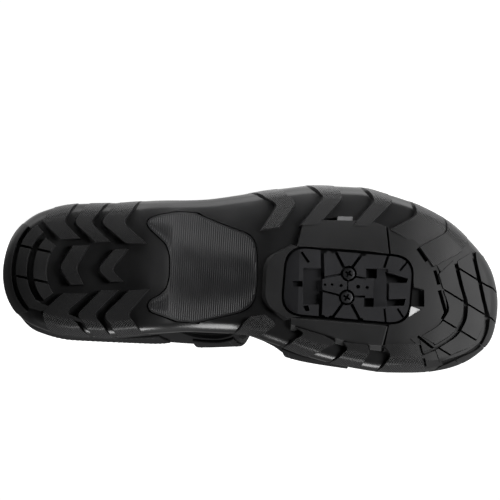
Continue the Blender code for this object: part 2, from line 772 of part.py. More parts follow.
def last_point(turn, share):
    """A point on the last: share runs from -1 at the lateral feather line to 1 at the medial one."""
    turn, share = np.broadcast_arrays(np.asarray(turn, float), np.asarray(share, float))
    share = np.where(turn < 0, -share, share)
    turn = np.abs(turn)
    x = last_x(turn)
    medial = share >= 0
    feather = np.where(medial, last_row("medial", turn), last_row("lateral", turn))
    flare = np.where(medial, last_row("medial_flare", turn), -last_row("lateral_flare", turn))
    ridge = last_row("ridge", turn)
    low = height("bed", x) + GAP
    tall = last_row("top", turn) - low
    up = 1 - np.abs(share)
    weights = ((1 - up)**3, 3 * up * (1 - up)**2, 3 * up**2 * (1 - up), up**3)
    ys = (feather, feather + flare, ridge + last_row("shoulder", turn) * (feather - ridge), ridge)
    rises = (0.0, 0.5, 1.0, 1.0)
    y = sum(w * v for w, v in zip(weights, ys))
    rise = sum(w * v for w, v in zip(weights, rises))
    heel = np.clip(1 - (x - HEEL_BACK) / HEEL_REACH, 0, 1)
    lean = HEEL_LEAN * rise * (rise - HEEL_BULGE) * heel**2
    return np.stack([x + lean, y, low + tall * rise], -1)


def off_last(turn, share, distance):
    """A point at a distance outside the last, kept above the bed."""
    step = 0.004
    along = last_point(np.asarray(turn) + step, share) - last_point(np.asarray(turn) - step, share)
    over = last_point(turn, np.clip(np.asarray(share) + step, -1, 1))
    over = over - last_point(turn, np.clip(np.asarray(share) - step, -1, 1))
    out = np.cross(along, over)
    out[np.linalg.norm(out, axis=-1) < MERGE] = (-1, 0, 0)
    out /= np.linalg.norm(out, axis=-1, keepdims=True)
    spot = last_point(turn, share) + out * distance
    spot[..., 2] = np.maximum(spot[..., 2], height("bed", spot[..., 0]) + GAP)
    return spot


def side_prism(name, outline):
    """A cutter right across the shoe from an outline on the medial side, set obliquely."""
    outline = np.asarray(outline, float)
    ends = []
    for y in (-CUT_REACH, CUT_REACH):
        x = outline[:, 0] + OBLIQUE * (y - MEDIAL_WALL)
        ends.append(np.stack([x, np.full(len(outline), y), outline[:, 1]], -1))
    return cutter(name, prism_mesh(name, [tuple(ends)]))


def upper():
    """The upper: heel quarters, instep band and forefoot band in one hollow wall."""
    shares = np.linspace(-1, 1, UPPER_ACROSS)
    edge = columns(TOE_EDGE)
    front = last_turn(glide(edge["share"], edge["x"], shares))
    turns = np.linspace(0, 1, UPPER_STATIONS)[:, None] * front
    grid = np.broadcast_to(shares, turns.shape)
    wall = slab(off_last(turns, grid, 0.0), off_last(turns, grid, WALL), open_start=True)
    part = piece("upper", mesh_of("upper", wall), "upper")
    at = columns(COLLAR)
    line = np.linspace(at["x"][0], at["x"][-1], COLLAR_STEPS)
    collar = np.stack([line, glide(at["x"], at["z"], line)], -1)
    collar = np.concatenate([collar, [(at["x"][0], at["z"][-1])]])
    combine(part, side_prism("collar_cut", collar), "DIFFERENCE")
    combine(part, side_prism("strap_gap", rounded(STRAP_GAP, STRAP_GAP_ROUND)), "DIFFERENCE")


def layer(name, table, material):
    """A strap laid over the upper, from its medial foot to its tab on the lateral side."""
    at = columns(table)
    order = np.argsort(at["share"])
    shares = np.linspace(at["share"].min(), at["share"].max(), STRAP_ACROSS)
    back, front = [glide(at["share"][order], at[edge][order], shares) for edge in ("back", "front")]
    x = back[:, None] + (front - back)[:, None] * np.linspace(0, 1, STRAP_STATIONS)
    grid = np.repeat(shares[:, None], STRAP_STATIONS, 1)
    turns = last_turn(x)
    low = WALL + LAYER_GAP
    faces = slab(off_last(turns, grid, low), off_last(turns, grid, low + LAYER))
    piece(name, mesh_of(name, faces), material)


def heel_counter():
    """Heel counter over the back of the quarters."""
    at = columns(COUNTER)
    reach = last_turn(at["x"][-1])
    turns = np.linspace(-reach, reach, COUNTER_STATIONS)
    x = last_x(np.abs(turns))
    tops = [glide(at["x"], at[f"{side}_share"], x) for side in ("lateral", "medial")]
    top = np.where(turns < 0, tops[0], tops[1])
    shares = COUNTER_FOOT + (top - COUNTER_FOOT)[:, None] * np.linspace(0, 1, COUNTER_ROWS)
    grid = np.repeat(turns[:, None], COUNTER_ROWS, 1)
    low = WALL + LAYER_GAP
    faces = slab(off_last(grid, shares, low), off_last(grid, shares, low + LAYER))
    piece("heel_counter", mesh_of("heel_counter", faces), "strap")


def insole():
    """Cupped insole inside the wall, which shows at the toe and between the straps."""
    ends = LAST_COLUMNS["x"][[0, -1]]
    turns = np.linspace(0, last_turn(ends[1]), INSOLE_STATIONS)
    lateral, medial = last_row("lateral", turns), last_row("medial", turns)
    middle = (lateral + medial) / 2
    half = np.maximum((medial - lateral) / 2 - INSOLE_GAP, 0)
    x = np.clip(last_x(turns), ends[0] + INSOLE_GAP, ends[1] - INSOLE_GAP)
    across = np.array(INSOLE_ACROSS)
    x = np.repeat(x[:, None], len(across), 1)
    y = middle[:, None] + half[:, None] * across
    low = height("bed", x) + GAP
    cup = INSOLE_CUP * np.clip(1 - np.abs(x - CUP_CENTRE) / CUP_REACH, 0, 1) * np.abs(across)**3
    edge = np.where(np.abs(across) == 1, INSOLE_EDGE, 0.0)
    top = np.stack([x, y, low + INSOLE + cup - edge], -1)
    bottom = np.stack([x, y, low], -1)
    sides = [np.stack([top[:, j], bottom[:, j]]) for j in (0, -1)]
    piece("insole", mesh_of("insole", [top, bottom, *sides]), "bed")


def lie_down(parts):
    """Rests the shoe on its lateral side: the hull facet under its centre becomes the floor."""
    bpy.context.view_layer.update()
    depsgraph = bpy.context.evaluated_depsgraph_get()
    hull = bmesh.new()
    volume = 0.0
    centre = Vector()
    for part in parts:
        shape = part.evaluated_get(depsgraph).to_mesh()
        shape.calc_loop_triangles()
        for triangle in shape.loop_triangles:
            a, b, c = (shape.vertices[i].co for i in triangle.vertices)
            share = a.dot(b.cross(c)) / 6
            volume += share
            centre += share * (a + b + c) / 4
        for vertex in shape.vertices:
            hull.verts.new(vertex.co)
    centre /= volume
    facets = bmesh.ops.convex_hull(hull, input=hull.verts)["geom"]
    points = [vertex.co.copy() for vertex in hull.verts]
    floor = None
    lowest = math.inf
    for face in facets:
        if not isinstance(face, bmesh.types.BMFace) or face.normal.y > LATERAL_FACING:
            continue
        normal = face.normal.copy()
        loop = [vertex.co for vertex in face.verts]
        drop = normal.dot(loop[0] - centre)
        foot = centre + normal * drop
        edges = zip(loop, loop[1:] + loop[:1])
        if drop < lowest and all(normal.dot((b - a).cross(foot - a)) >= 0 for a, b in edges):
            lowest = drop
            floor = normal
    hull.free()
    up = -floor
    along = Vector((-1, 0, 0))
    along = (along - up * along.dot(up)).normalized()
    turn = Matrix((along, up.cross(along), up))
    laid = [turn @ point for point in points]
    low = Vector(min(point[i] for point in laid) for i in range(3))
    high = Vector(max(point[i] for point in laid) for i in range(3))
    shift = Vector((-(low.x + high.x) / 2, -(low.y + high.y) / 2, -low.z))
    LAID.matrix_world = Matrix.Translation(shift) @ turn.to_4x4()


for leftover in list(bpy.data.objects):
    bpy.data.objects.remove(leftover, do_unlink=True)
SANDAL = bpy.data.collections.new("cycling_sandal")
CUTTERS = bpy.data.collections.new("cutters")
for group in (SANDAL, CUTTERS):
    bpy.context.scene.collection.children.link(group)
LAID = bpy.data.objects.new("laid_on_its_side", None)
SANDAL.objects.link(LAID)
outsole()
arch_plate()
cleat_cover()
cleat_screws()
midsole()
insole()
upper()
heel_counter()
layer("instep_strap", INSTEP_STRAP, "strap")
layer("forefoot_strap", FOREFOOT_STRAP, "strap")
lie_down([part for part in SANDAL.objects if part.type == "MESH"])
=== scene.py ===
import math
from itertools import product

import bmesh
import bpy
import numpy as np
from mathutils import Matrix, Vector


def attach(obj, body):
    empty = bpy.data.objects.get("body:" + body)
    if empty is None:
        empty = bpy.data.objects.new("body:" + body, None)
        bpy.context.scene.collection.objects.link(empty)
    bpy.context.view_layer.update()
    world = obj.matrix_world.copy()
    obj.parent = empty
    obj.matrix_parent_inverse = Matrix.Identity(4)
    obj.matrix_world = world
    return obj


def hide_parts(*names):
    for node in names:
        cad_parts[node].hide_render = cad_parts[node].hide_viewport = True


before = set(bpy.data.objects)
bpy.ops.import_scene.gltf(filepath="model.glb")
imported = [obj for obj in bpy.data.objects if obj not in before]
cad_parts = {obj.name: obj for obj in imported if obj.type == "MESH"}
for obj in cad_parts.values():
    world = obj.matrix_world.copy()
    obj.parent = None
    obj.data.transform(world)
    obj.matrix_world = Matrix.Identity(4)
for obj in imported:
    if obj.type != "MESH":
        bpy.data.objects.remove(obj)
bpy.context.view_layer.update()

# Outsole: one moulding of black rubber, rolled up at its edge. Its chevron lugs with their knurled
# faces, the bars and raised ground round the cleat pocket and the heel and toe bands stand on a
# thinner skin. All is in millimetres from heel to toe, across to the medial side and up.
LENGTH = 291.4
LUG = 4.2
SIDE_LUG = 0.35
ROLL = 6.0
CORE = 9.0
CLIMB = 2.2
DRAFT = 0.55
REAR_DRAFT = 1.5
BEND = 3.5
BEND_SHARE = 0.4
BEND_STEPS = 5
ARM_STEPS = (12, 4)
ACROSS_CHEVRON = 4
ACROSS_GROUND = 3
GROUND_STEPS = 4
SINK = 0.6
OUTLINE = (
    ("x", "lateral", "medial"),
    (0, -1.0, -1.0),
    (4, -20.2, 16.4),
    (10, -28.2, 24.8),
    (20, -35.2, 31.4),
    (40, -41.2, 36.0),
    (60, -42.8, 36.2),
    (90, -46.0, 32.6),
    (115, -48.6, 29.6),
    (140, -53.3, 29.4),
    (160, -57.1, 34.2),
    (180, -60.2, 40.6),
    (205, -60.5, 45.4),
    (225, -56.8, 47.4),
    (245, -50.8, 46.4),
    (260, -43.8, 43.4),
    (272, -34.8, 38.6),
    (281.5, -25.2, 31.6),
    (288, -14.0, 23.6),
    (291.4, 4.0, 4.0),
)
PROFILE = (
    ("x", "skin", "bed"),
    (0, 10.5, 30.0),
    (6, 8.0, 29.4),
    (14, 5.3, 28.8),
    (21, 4.2, 28.4),
    (70, 4.2, 27.2),
    (85, 2.6, 26.8),
    (94, 3.5, 26.4),
    (104, 5.9, 25.9),
    (120, 7.9, 24.6),
    (136, 7.5, 23.2),
    (146, 5.6, 22.3),
    (156, 4.3, 21.6),
    (232, 4.2, 18.6),
    (250, 6.2, 19.4),
    (268, 10.6, 22.8),
    (291.4, 17.9, 30.0),
)
CHEVRONS = (
    ("outer_x", "outer_y", "apex_x", "apex_y", "inner_x", "inner_y",
     "outer_run", "apex_run", "inner_run", "shift", "drop"),
    (30.3, -40.5, 22.0, -28.6, 33.0, -18.9, 11.5, 12.0, 11.5, -0.8, 0),
    (51.3, -45.3, 40.5, -29.2, 53.4, -18.3, 11.5, 9.3, 8.7, -0.6, 0),
    (69.3, -47.3, 56.2, -30.1, 71.5, -18.6, 11.5, 12.6, 11.6, -0.6, 0),
    (41.0, -15.2, 33.8, -1.9, 40.8, 7.6, 8.6, 9.0, 7.0, -0.6, 0),
    (65.2, -14.4, 56.0, -2.0, 64.0, 4.6, 7.6, 7.6, 7.0, -0.6, 0),
    (32, 38.4, 25.0, 24.8, 37.0, 13.0, 23.0, 13.8, 13.8, -0.6, 0),
    (60, 39.4, 45.3, 25.4, 59.0, 10.1, 9.4, 9.8, 9.8, -0.6, 0),
    (73, 38.4, 61.0, 24.6, 75.3, 9.2, 15.0, 13.6, 11.0, -1.2, 0),
    (137.5, -56.2, 159.2, -46.3, 150.4, -31.0, 17.5, 10.4, 9.8, -2.0, 0),
    (169.6, -63.2, 186.2, -52.4, 173.2, -35.0, 18.0, 10.8, 9.8, -0.6, 0.6),
    (203.2, -63.8, 216.2, -52.0, 203.8, -36.4, 15.5, 9.8, 8.6, 0.0, 0.6),
    (234.8, -57.2, 241.2, -44.6, 225.5, -34.9, 20.2, 18.1, 17.6, 8.4, 1.3),
    (255.2, -49.0, 259.3, -36.2, 243.0, -26.0, 17.0, 8.6, 8.6, 11.0, -0.6),
    (135, 32.6, 141.5, 25.6, 147.0, 20.3, 17.0, 20.6, 7.8, -1.4, 0),
    (164, 38.2, 178.8, 28.9, 173.0, 25.2, 15.0, 19.0, 16.6, 4.0, 0),
    (192, 45.6, 204.5, 36.8, 201.4, 32.4, 19.0, 12.4, 13.4, 0.8, 0),
    (221, 48.2, 229.9, 39.2, 224.8, 32.8, 29.0, 17.2, 20.0, -2.0, 0),
)
KNURLED_OVER = (8, 13)
KNURLED_RIM = 6.4
OFF_KNURL = 50.0


def columns(table):
    """A table's columns by name."""
    return {name: np.array([row[i] for row in table[1:]], float) for i, name in enumerate(table[0])}


def glide(xs, ys, x):
    """Reads a smooth curve through the rows of a table, which never overshoots them."""
    x = np.clip(np.asarray(x, float), xs[0], xs[-1])
    step = np.diff(xs)
    rise = np.diff(ys) / step
    both = rise[:-1] * rise[1:]
    slope = np.concatenate([rise[:1], np.zeros(len(xs) - 2), rise[-1:]])
    turning = both > 0
    slope[1:-1][turning] = 2 * both[turning] / (rise[:-1] + rise[1:])[turning]
    k = np.clip(np.searchsorted(xs, x, side="right") - 1, 0, len(xs) - 2)
    t = (x - xs[k]) / step[k]
    start = ys[k] * (2 * t**3 - 3 * t**2 + 1) + slope[k] * step[k] * (t**3 - 2 * t**2 + t)
    end = ys[k + 1] * (3 * t**2 - 2 * t**3) + slope[k + 1] * step[k] * (t**3 - t**2)
    return start + end


PROFILE_COLUMNS = columns(PROFILE)


def height(name, x):
    """Height of the skin or the bed at a station."""
    return glide(PROFILE_COLUMNS["x"], PROFILE_COLUMNS[name], x)


def plan_turn(x):
    """Turns a station into an angle, so that the round ends of a plan are spread evenly."""
    return np.arccos(np.clip(1 - 2 * np.asarray(x, float) / LENGTH, -1, 1))


def rim(turn, side):
    """Plan points on one side of the sole's rim."""
    rows = columns(OUTLINE)
    across = glide(plan_turn(rows["x"]), rows[side], turn)
    return np.stack([LENGTH * (1 - np.cos(turn)) / 2, across], -1)


RIM_STEPS = 260
ROUND = np.linspace(0, math.pi, RIM_STEPS + 1)
RIM = np.concatenate([rim(ROUND, "medial"), rim(ROUND[::-1], "lateral")[1:-1]])
RIM_RUN = np.roll(RIM, -1, axis=0) - RIM
RIM_OUT = np.stack([-RIM_RUN[:, 1], RIM_RUN[:, 0]], -1) / np.linalg.norm(RIM_RUN, axis=1)[:, None]


def rim_depth(plan):
    """How far plan points lie inside the rim, and the outward direction of the rim beside them."""
    flat = plan.reshape(-1, 2)
    reach = flat[:, None, :] - RIM[None]
    share = np.clip((reach * RIM_RUN).sum(-1) / (RIM_RUN**2).sum(-1), 0, 1)
    away = reach - share[..., None] * RIM_RUN
    nearest = np.argmin((away**2).sum(-1), axis=1)
    out = RIM_OUT[nearest]
    depth = -(away[np.arange(len(flat)), nearest] * out).sum(-1)
    return depth.reshape(plan.shape[:-1]), out.reshape(plan.shape)


def on_sole(plan, proud):
    """Places plan points on the skin or proud of it; past the rim they climb the side."""
    depth, out = rim_depth(plan)
    sine = np.clip((ROLL - depth) / ROLL, 0, 1)
    cosine = np.sqrt(1 - sine**2)
    spot = plan + out * (np.minimum(depth, 0) + proud * sine)[..., None]
    climb = ROLL * (1 - cosine) + CLIMB * (1 - np.exp(np.minimum(depth, 0) / CLIMB))
    lift = height("skin", plan[..., 0]) + climb - proud * cosine
    return np.concatenate([spot, lift[..., None]], -1)


def tread(plan, tall):
    """The ground face of a lug, which stops at the ground and thins out on the side of the sole."""
    depth, _ = rim_depth(plan)
    flat = np.clip(depth / ROLL, 0, 1)
    flat = flat * flat * (3 - 2 * flat)
    tall = np.minimum(tall, height("skin", plan[..., 0]))
    return on_sole(plan, SIDE_LUG + (tall - SIDE_LUG) * flat)


def grown(plan, ends, rear, front):
    """A lug's plan with its edges pushed out for the draft of its walls."""
    wide = plan.copy()
    for line, inner, reach in ((wide[:, 0], plan[:, 1], rear), (wide[:, -1], plan[:, -2], front),
                               (wide[0], plan[1], ends), (wide[-1], plan[-2], ends)):
        away = line - inner
        line += reach * away / np.maximum(np.linalg.norm(away, axis=-1, keepdims=True), 1e-6)
    return wide


def slab(face, back):
    """The faces of a body between two grids of equal size."""
    ends = [np.stack([face[i], back[i]]) for i in (-1, 0)]
    sides = [np.stack([face[:, j], back[:, j]]) for j in (0, -1)]
    return [face, back, *ends, *sides]


def lug(rear, front, tall, front_drop, across, rear_draft, front_draft, knurled=LENGTH):
    """A lug between two lines across the sole, and its flat pattern with the way in from the rim."""
    t = np.linspace(0, 1, across + 1)
    plan = rear[:, None] + (front - rear)[:, None] * t[None, :, None]
    foot = grown(plan, DRAFT, rear_draft, front_draft)
    pattern = []
    for outline in (plan, foot):
        inward = np.minimum(rim_depth(outline)[0], knurled)
        pattern.append(np.concatenate([outline, inward[..., None]], -1))
    pattern[1][..., 2] += OFF_KNURL
    return slab(tread(plan, tall - front_drop * t), on_sole(foot, -SINK)), slab(*pattern)


# The sandal lies on its lateral side, so every piece is worked out as if it stood and is then laid.
LAID = Matrix((
    (-0.990235, 0.138849, -0.012453, 0.144391),
    (0.0, 0.089326, 0.996002, -0.049538),
    (0.139406, 0.986277, -0.088453, 0.036393),
    (0.0, 0.0, 0.0, 1.0),
))
MM = 0.001
MERGE = 2e-6
SLIVER = 1e-6


def laid(points):
    """Standing millimetres to metres as it lies."""
    return np.asarray(points, float) * MM @ np.array(LAID.to_3x3()).T + np.array(LAID.translation)


def link(name, mesh):
    """Puts a mesh into the scene as an object at the origin."""
    made = bpy.data.objects.new(name, mesh)
    bpy.context.scene.collection.objects.link(made)
    return made


def moulded(name, patches, plans=None):
    """A closed object from grids of points that share their borders; plan keeps the flat pattern."""
    body = bmesh.new()
    flat = body.verts.layers.float_vector.new("plan")
    for patch, plan in zip(patches, plans or patches):
        spots = laid(patch)
        corner = []
        for i in range(patch.shape[0]):
            corner.append([])
            for j in range(patch.shape[1]):
                corner[i].append(body.verts.new(spots[i, j]))
                corner[i][j][flat] = plan[i, j]
        for i, j in product(range(patch.shape[0] - 1), range(patch.shape[1] - 1)):
            body.faces.new((corner[i][j], corner[i][j + 1], corner[i + 1][j + 1], corner[i + 1][j]))
    bmesh.ops.remove_doubles(body, verts=body.verts, dist=MERGE)
    bmesh.ops.dissolve_degenerate(body, dist=SLIVER, edges=body.edges)
    bmesh.ops.recalc_face_normals(body, faces=body.faces)
    for face in body.faces:
        face.smooth = True
    mesh = bpy.data.meshes.new(name)
    body.to_mesh(mesh)
    body.free()
    return link(name, mesh)


def moulded_lugs(name, lugs):
    """All the lugs of one kind in one object."""
    made = list(lugs)
    patches = [patch for faces, _ in made for patch in faces]
    plans = [plan for _, flats in made for plan in flats]
    return moulded(name, patches, plans)


def walk(outer, apex, inner):
    """Points along one edge of a lug, with most steps on its outer arm and a rounded apex."""
    start, end = [apex + (tip - apex) * min(BEND_SHARE, BEND / np.linalg.norm(tip - apex))
                  for tip in (outer, inner)]
    t = np.linspace(0, 1, BEND_STEPS, endpoint=False)[:, None]
    bend = (1 - t)**2 * start + 2 * t * (1 - t) * apex + t**2 * end
    outer_arm = np.linspace(outer, start, ARM_STEPS[0], endpoint=False)
    inner_arm = np.linspace(end, inner, ARM_STEPS[1])
    return np.concatenate([outer_arm, bend, inner_arm])


def chevrons():
    """The V-shaped lugs, each between its rear edge and its front edge."""
    ends = ("outer", "apex", "inner")
    for number, row in enumerate(CHEVRONS[1:]):
        at = dict(zip(CHEVRONS[0], row))
        rear = [np.array((at[f"{end}_x"], at[f"{end}_y"])) for end in ends]
        front = [spot + np.array((at[f"{end}_run"], at["shift"])) for end, spot in zip(ends, rear)]
        knurled = KNURLED_RIM if number in KNURLED_OVER else LENGTH
        edges = (walk(*rear), walk(*front))
        yield lug(*edges, LUG, at["drop"], ACROSS_CHEVRON, REAR_DRAFT, DRAFT, knurled)


POCKET_COLLAR = (
    ("in_x", "in_y", "out_x", "out_y"),
    (180, -20.0, 169.6, -22.8),
    (170.4, -13.6, 156.6, -14.6),
    (167.0, -6.0, 154.4, -6.5),
    (167.0, 6.0, 154.4, 6.0),
    (170.4, 13.6, 156.8, 13.2),
    (180, 18.0, 168.0, 20.4),
)
TOE_GROUND = (
    ("in_x", "in_y", "out_x", "out_y"),
    (226.3, -20.3, 223.9, -36.0),
    (231.0, -19.0, 237.5, -31.0),
    (235.6, -14.6, 246.0, -25.0),
    (239.8, -8.0, 252.8, -16.6),
    (240.8, 0.0, 257.8, -4.0),
    (240.6, 7.0, 260.6, 9.6),
    (236.2, 15.0, 257.0, 17.6),
    (231.4, 19.2, 246.0, 31.4),
    (227.2, 21.0, 224.9, 36.0),
)
TOE_FLOOR = (
    ("in_x", "in_y", "out_x", "out_y"),
    (250.0, -24.0, 270.0, -33.0),
    (254.0, -15.0, 279.0, -23.5),
    (258.0, -4.0, 285.5, -12.0),
    (260.5, 9.0, 288.0, 5.0),
    (257.0, 18.0, 284.5, 21.5),
    (248.0, 27.0, 274.0, 33.0),
    (242.0, 33.0, 257.0, 40.5),
)
LATERAL_SHOULDER = (
    ("in_x", "in_y", "out_x", "out_y"),
    (252.6, -16.9, 255.9, -11.8),
    (266.4, -26.2, 262.4, -16.6),
    (270.5, -32.5, 275.4, -22.0),
)
MEDIAL_SHOULDER = (
    ("in_x", "in_y", "out_x", "out_y"),
    (240.0, 28.0, 246.5, 26.0),
    (245.0, 33.0, 254.8, 31.4),
    (247.4, 43.5, 259.6, 41.0),
)
PRY_SLOT = ((239.0, -2.6), (246.7, -1.1), (247.3, 8.8), (239.4, 9.2))
PRY_SLOT_FLOOR = 5.6
RAMP_DEEP = 3.0
PRY_RAMP = ((239.4, 9.2, 1.0), (245.8, 10.5, 3.0), (238.4, 15.4, 0.9))
BAR_RAMP = ((194.2, -41.4, 1.6), (203.0, -42.0, 3.9), (203.0, -39.0, 3.9), (193.8, -38.4, 1.6))
BAR_NOTCH = (184.6, -39.0, 194.0, -40.0, 1.8)
BAR_NOTCH_FLOOR = 7.0
GROUND_SLITS = (
    ("ground", "from_x", "from_y", "to_x", "to_y", "wide"),
    ("toe_ground", 252.4, -13.0, 255.2, -4.8, 2.0),
    ("toe_ground", 255.7, -1.5, 260.0, 11.0, 2.2),
    ("toe_ground", 260.0, 10.5, 258.2, 15.4, 2.0),
    ("toe_ground", 241.7, -25.2, 247.4, -17.9, 2.0),
    ("toe_ground", 244.2, 26.4, 250.2, 30.5, 1.6),
    ("medial_shoulder", 244.2, 26.4, 254.0, 33.2, 1.6),
    ("medial_shoulder", 244.1, 26.0, 247.1, 36.8, 1.8),
    ("medial_shoulder", 247.1, 36.8, 257.5, 31.8, 1.8),
    ("medial_shoulder", 248.3, 39.1, 249.8, 43.7, 1.6),
)
LATERAL_BAR = (
    ("in_x", "in_y", "out_x", "out_y"),
    (171.5, -22.4, 174.0, -35.8),
    (186.0, -22.4, 184.0, -38.2),
    (203.0, -22.2, 203.0, -39.2),
    (215.0, -21.8, 213.6, -39.1),
    (225.0, -20.6, 222.4, -36.8),
)
MEDIAL_BAR = (
    ("in_x", "in_y", "out_x", "out_y"),
    (169.6, 19.9, 170.0, 23.8),
    (190.0, 20.4, 190.6, 28.8),
    (210.0, 21.0, 209.0, 32.8),
    (226.4, 21.6, 224.0, 33.2),
)
RAISED = (
    ("name", "table", "tall", "outer_draft"),
    ("collar", POCKET_COLLAR, 3.3, 2.6),
    ("toe_ground", TOE_GROUND, 3.4, DRAFT),
    ("toe_floor", TOE_FLOOR, 0.9, DRAFT),
    ("lateral_shoulder", LATERAL_SHOULDER, 3.8, DRAFT),
    ("medial_shoulder", MEDIAL_SHOULDER, 3.8, DRAFT),
    ("lateral_bar", LATERAL_BAR, 3.5, DRAFT),
    ("medial_bar", MEDIAL_BAR, 3.5, 3.2),
)


def raised_ground(table, tall, outer_draft):
    """A bar beside the cleat pocket or a stretch of raised ground, between two lines."""
    at = columns(table)
    station = np.arange(len(at["in_x"]), dtype=float)
    fine = np.linspace(0, station[-1], GROUND_STEPS * (len(station) - 1) + 1)
    inner, outer = [np.stack([glide(station, at[f"{edge}_{axis}"], fine) for axis in "xy"], -1)
                    for edge in ("in", "out")]
    return lug(inner, outer, tall, 0.0, ACROSS_GROUND, DRAFT, outer_draft)


HEEL_CENTRE = (60.0, 0.0)
PAST_RIM = 1.04
HEEL_BANDS = (
    ("slit", "outer", "inner", "outer_from", "inner_from", "outer_to", "inner_to"),
    (False, PAST_RIM, 0.906, -31.0, -28.0, 24.6, 21.8),
    (True, 0.863, 0.757, -30.0, -26.5, 21.4, 15.3),
    (True, 0.690, 0.566, -23.4, -20.6, 13.4, 8.4),
)
HEEL_SLIT = 1.6
HEEL_SLIT_ANGLE = math.radians(10.0)
HEEL_SLITS = (-15.3, 2.5)
TOE_CENTRE = (233.0, 2.0)
TOE_GROOVE = 3.0
TOE_GROOVES = (
    ("row", "rear", "middle", "front"),
    (-149.0, 196.0, 215.5, 230.8),
    (-137.0, 208.0, 226.4, 242.0),
    (-124.5, 220.7, 238.0, 253.2),
    (-117.0, 228.4, 245.2, 259.6),
    (-107.0, 237.4, 249.0, 262.6),
    (-101.2, 237.2, 249.2, 262.8),
    (-86.0, 230.6, 243.1, 254.2),
    (-74.0, 224.0, 236.0, 246.0),
)
TOE_BANDS = (
    ("slit", "outer", "inner", "outer_from", "inner_from", "outer_to", "inner_to"),
    (True, "rim", "front", -149.6, -146.4, -70.0, -78.0),
    (True, "front", "middle", -145.2, -136.4, -79.0, -83.0),
    (True, "middle", "rear", -135.6, -124.0, -86.0, -86.0),
)
TOE_SLIT = 1.0
TOE_SLIT_ANGLE = math.radians(26.5)
TOE_SLITS = (-132.7, -117.1, -101.2, -85.6)
BAND_STEP = 2.4
BAND_ACROSS = 8
BAND_DRAFT = 0.2


def drawn_rim(scale, rows, angle, centre):
    """Points on the rim drawn in towards a centre, where slanted rows across the sole meet it."""
    beyond = (RIM[:, 0] - centre[0]) * (centre[0] - LENGTH / 2) > 0
    line = np.array(centre) + (RIM[beyond] - np.array(centre)) * scale
    row = line[:, 1] * math.cos(angle) - line[:, 0] * math.sin(angle)
    order = np.argsort(row)
    return np.stack([np.interp(rows, row[order], line[order, i]) for i in range(2)], -1)


def heel_line(scale, edge, rows):
    """An edge of a heel band."""
    return drawn_rim(scale, rows, HEEL_SLIT_ANGLE, HEEL_CENTRE)


def toe_line(groove, edge, rows):
    """An edge of a toe band: past the rim, or on the near side of a groove."""
    if groove == "rim":
        return drawn_rim(PAST_RIM, rows, TOE_SLIT_ANGLE, TOE_CENTRE)
    at = columns(TOE_GROOVES)
    along = glide(at["row"], at[groove], rows) + TOE_GROOVE / 2 * (-1 if edge == "outer" else 1)
    sine, cosine = math.sin(TOE_SLIT_ANGLE), math.cos(TOE_SLIT_ANGLE)
    return np.stack([along * cosine - rows * sine, along * sine + rows * cosine], -1)


def bands(table, slits, wide, line):
    """Lugs between two lines, in lengths between the slits."""
    along = np.linspace(0, 1, BAND_ACROSS + 1)[:, None]
    for row in table[1:]:
        at = dict(zip(table[0], row))
        inside = [slit for slit in slits if at["slit"] and at["inner_from"] < slit < at["inner_to"]]
        stops = {edge: (at[f"{edge}_from"], *inside, at[f"{edge}_to"]) for edge in ("outer", "inner")}
        for k in range(len(inside) + 1):
            count = 2 + math.ceil((stops["outer"][k + 1] - stops["outer"][k]) / BAND_STEP)
            edges = []
            for edge in ("outer", "inner"):
                rows = np.linspace(stops[edge][k] + wide / 2, stops[edge][k + 1] - wide / 2, count)
                edges.append(line(at[edge], edge, rows))
            plan = edges[0][:, None] + (edges[1] - edges[0])[:, None] * along
            foot = grown(plan, *[wide * BAND_DRAFT] * 3)
            faces = slab(tread(plan, LUG), on_sole(foot, -SINK))
            yield faces, faces


def sole_rows(stations, insets, across):
    """Plan points in rows from the lateral rim to the medial rim."""
    turn = np.linspace(0, math.pi, stations + 1)
    sides = []
    for side, sign in (("lateral", -1), ("medial", 1)):
        line = rim(turn, side)
        run = np.gradient(line, axis=0)
        run[0] = (0, sign)
        run[-1] = (0, -sign)
        out = sign * np.stack([-run[:, 1], run[:, 0]], -1) / np.linalg.norm(run, axis=1)[:, None]
        sides.append(np.stack([line - out * inset for inset in insets], 1))
    lateral, medial = sides[0], sides[1][:, ::-1]
    steps = np.linspace(0, 1, across + 1)[1:-1]
    between = lateral[:, -1:] + (medial[:, :1] - lateral[:, -1:]) * steps[None, :, None]
    return np.concatenate([lateral, between, medial], 1)


ARCH_PLATE = (
    ("y", "back", "front"),
    (-39.2, 103.0, 111.0),
    (-36.6, 91.0, 118.0),
    (-33.8, 84.6, 126.0),
    (-31.4, 83.2, 133.5),
    (-28.4, 84.8, 142.0),
    (-24.4, 89.4, 146.0),
    (-18.7, 95.4, 147.6),
    (-11.0, 97.8, 148.5),
    (-2.0, 98.2, 149.0),
    (6.0, 96.8, 148.6),
    (10.6, 93.0, 147.6),
    (14.2, 87.8, 145.4),
    (17.0, 86.6, 141.0),
    (20.4, 88.2, 130.6),
    (22.9, 96.0, 122.0),
    (25.0, 104.0, 113.6),
)
PLATE_GAP = 0.7
PLATE_SEAT = 1.8
PLATE_ROWS = 60
PLATE_STEPS = 40


def plate_grid(margin, proud):
    """The arch plate's face at a height over the skin, grown by a margin."""
    at = columns(ARCH_PLATE)
    y = np.linspace(at["y"][0], at["y"][-1], PLATE_ROWS + 1)
    back, front = [glide(at["y"], at[edge], y) for edge in ("back", "front")]
    back = back - margin * np.hypot(1, np.gradient(back, y))
    front = front + margin * np.hypot(1, np.gradient(front, y))
    y[0] -= margin
    y[-1] += margin
    x = back[:, None] + (front - back)[:, None] * np.linspace(0, 1, PLATE_STEPS + 1)
    plan = np.stack([x, np.repeat(y[:, None], PLATE_STEPS + 1, 1)], -1)
    return on_sole(plan, proud)


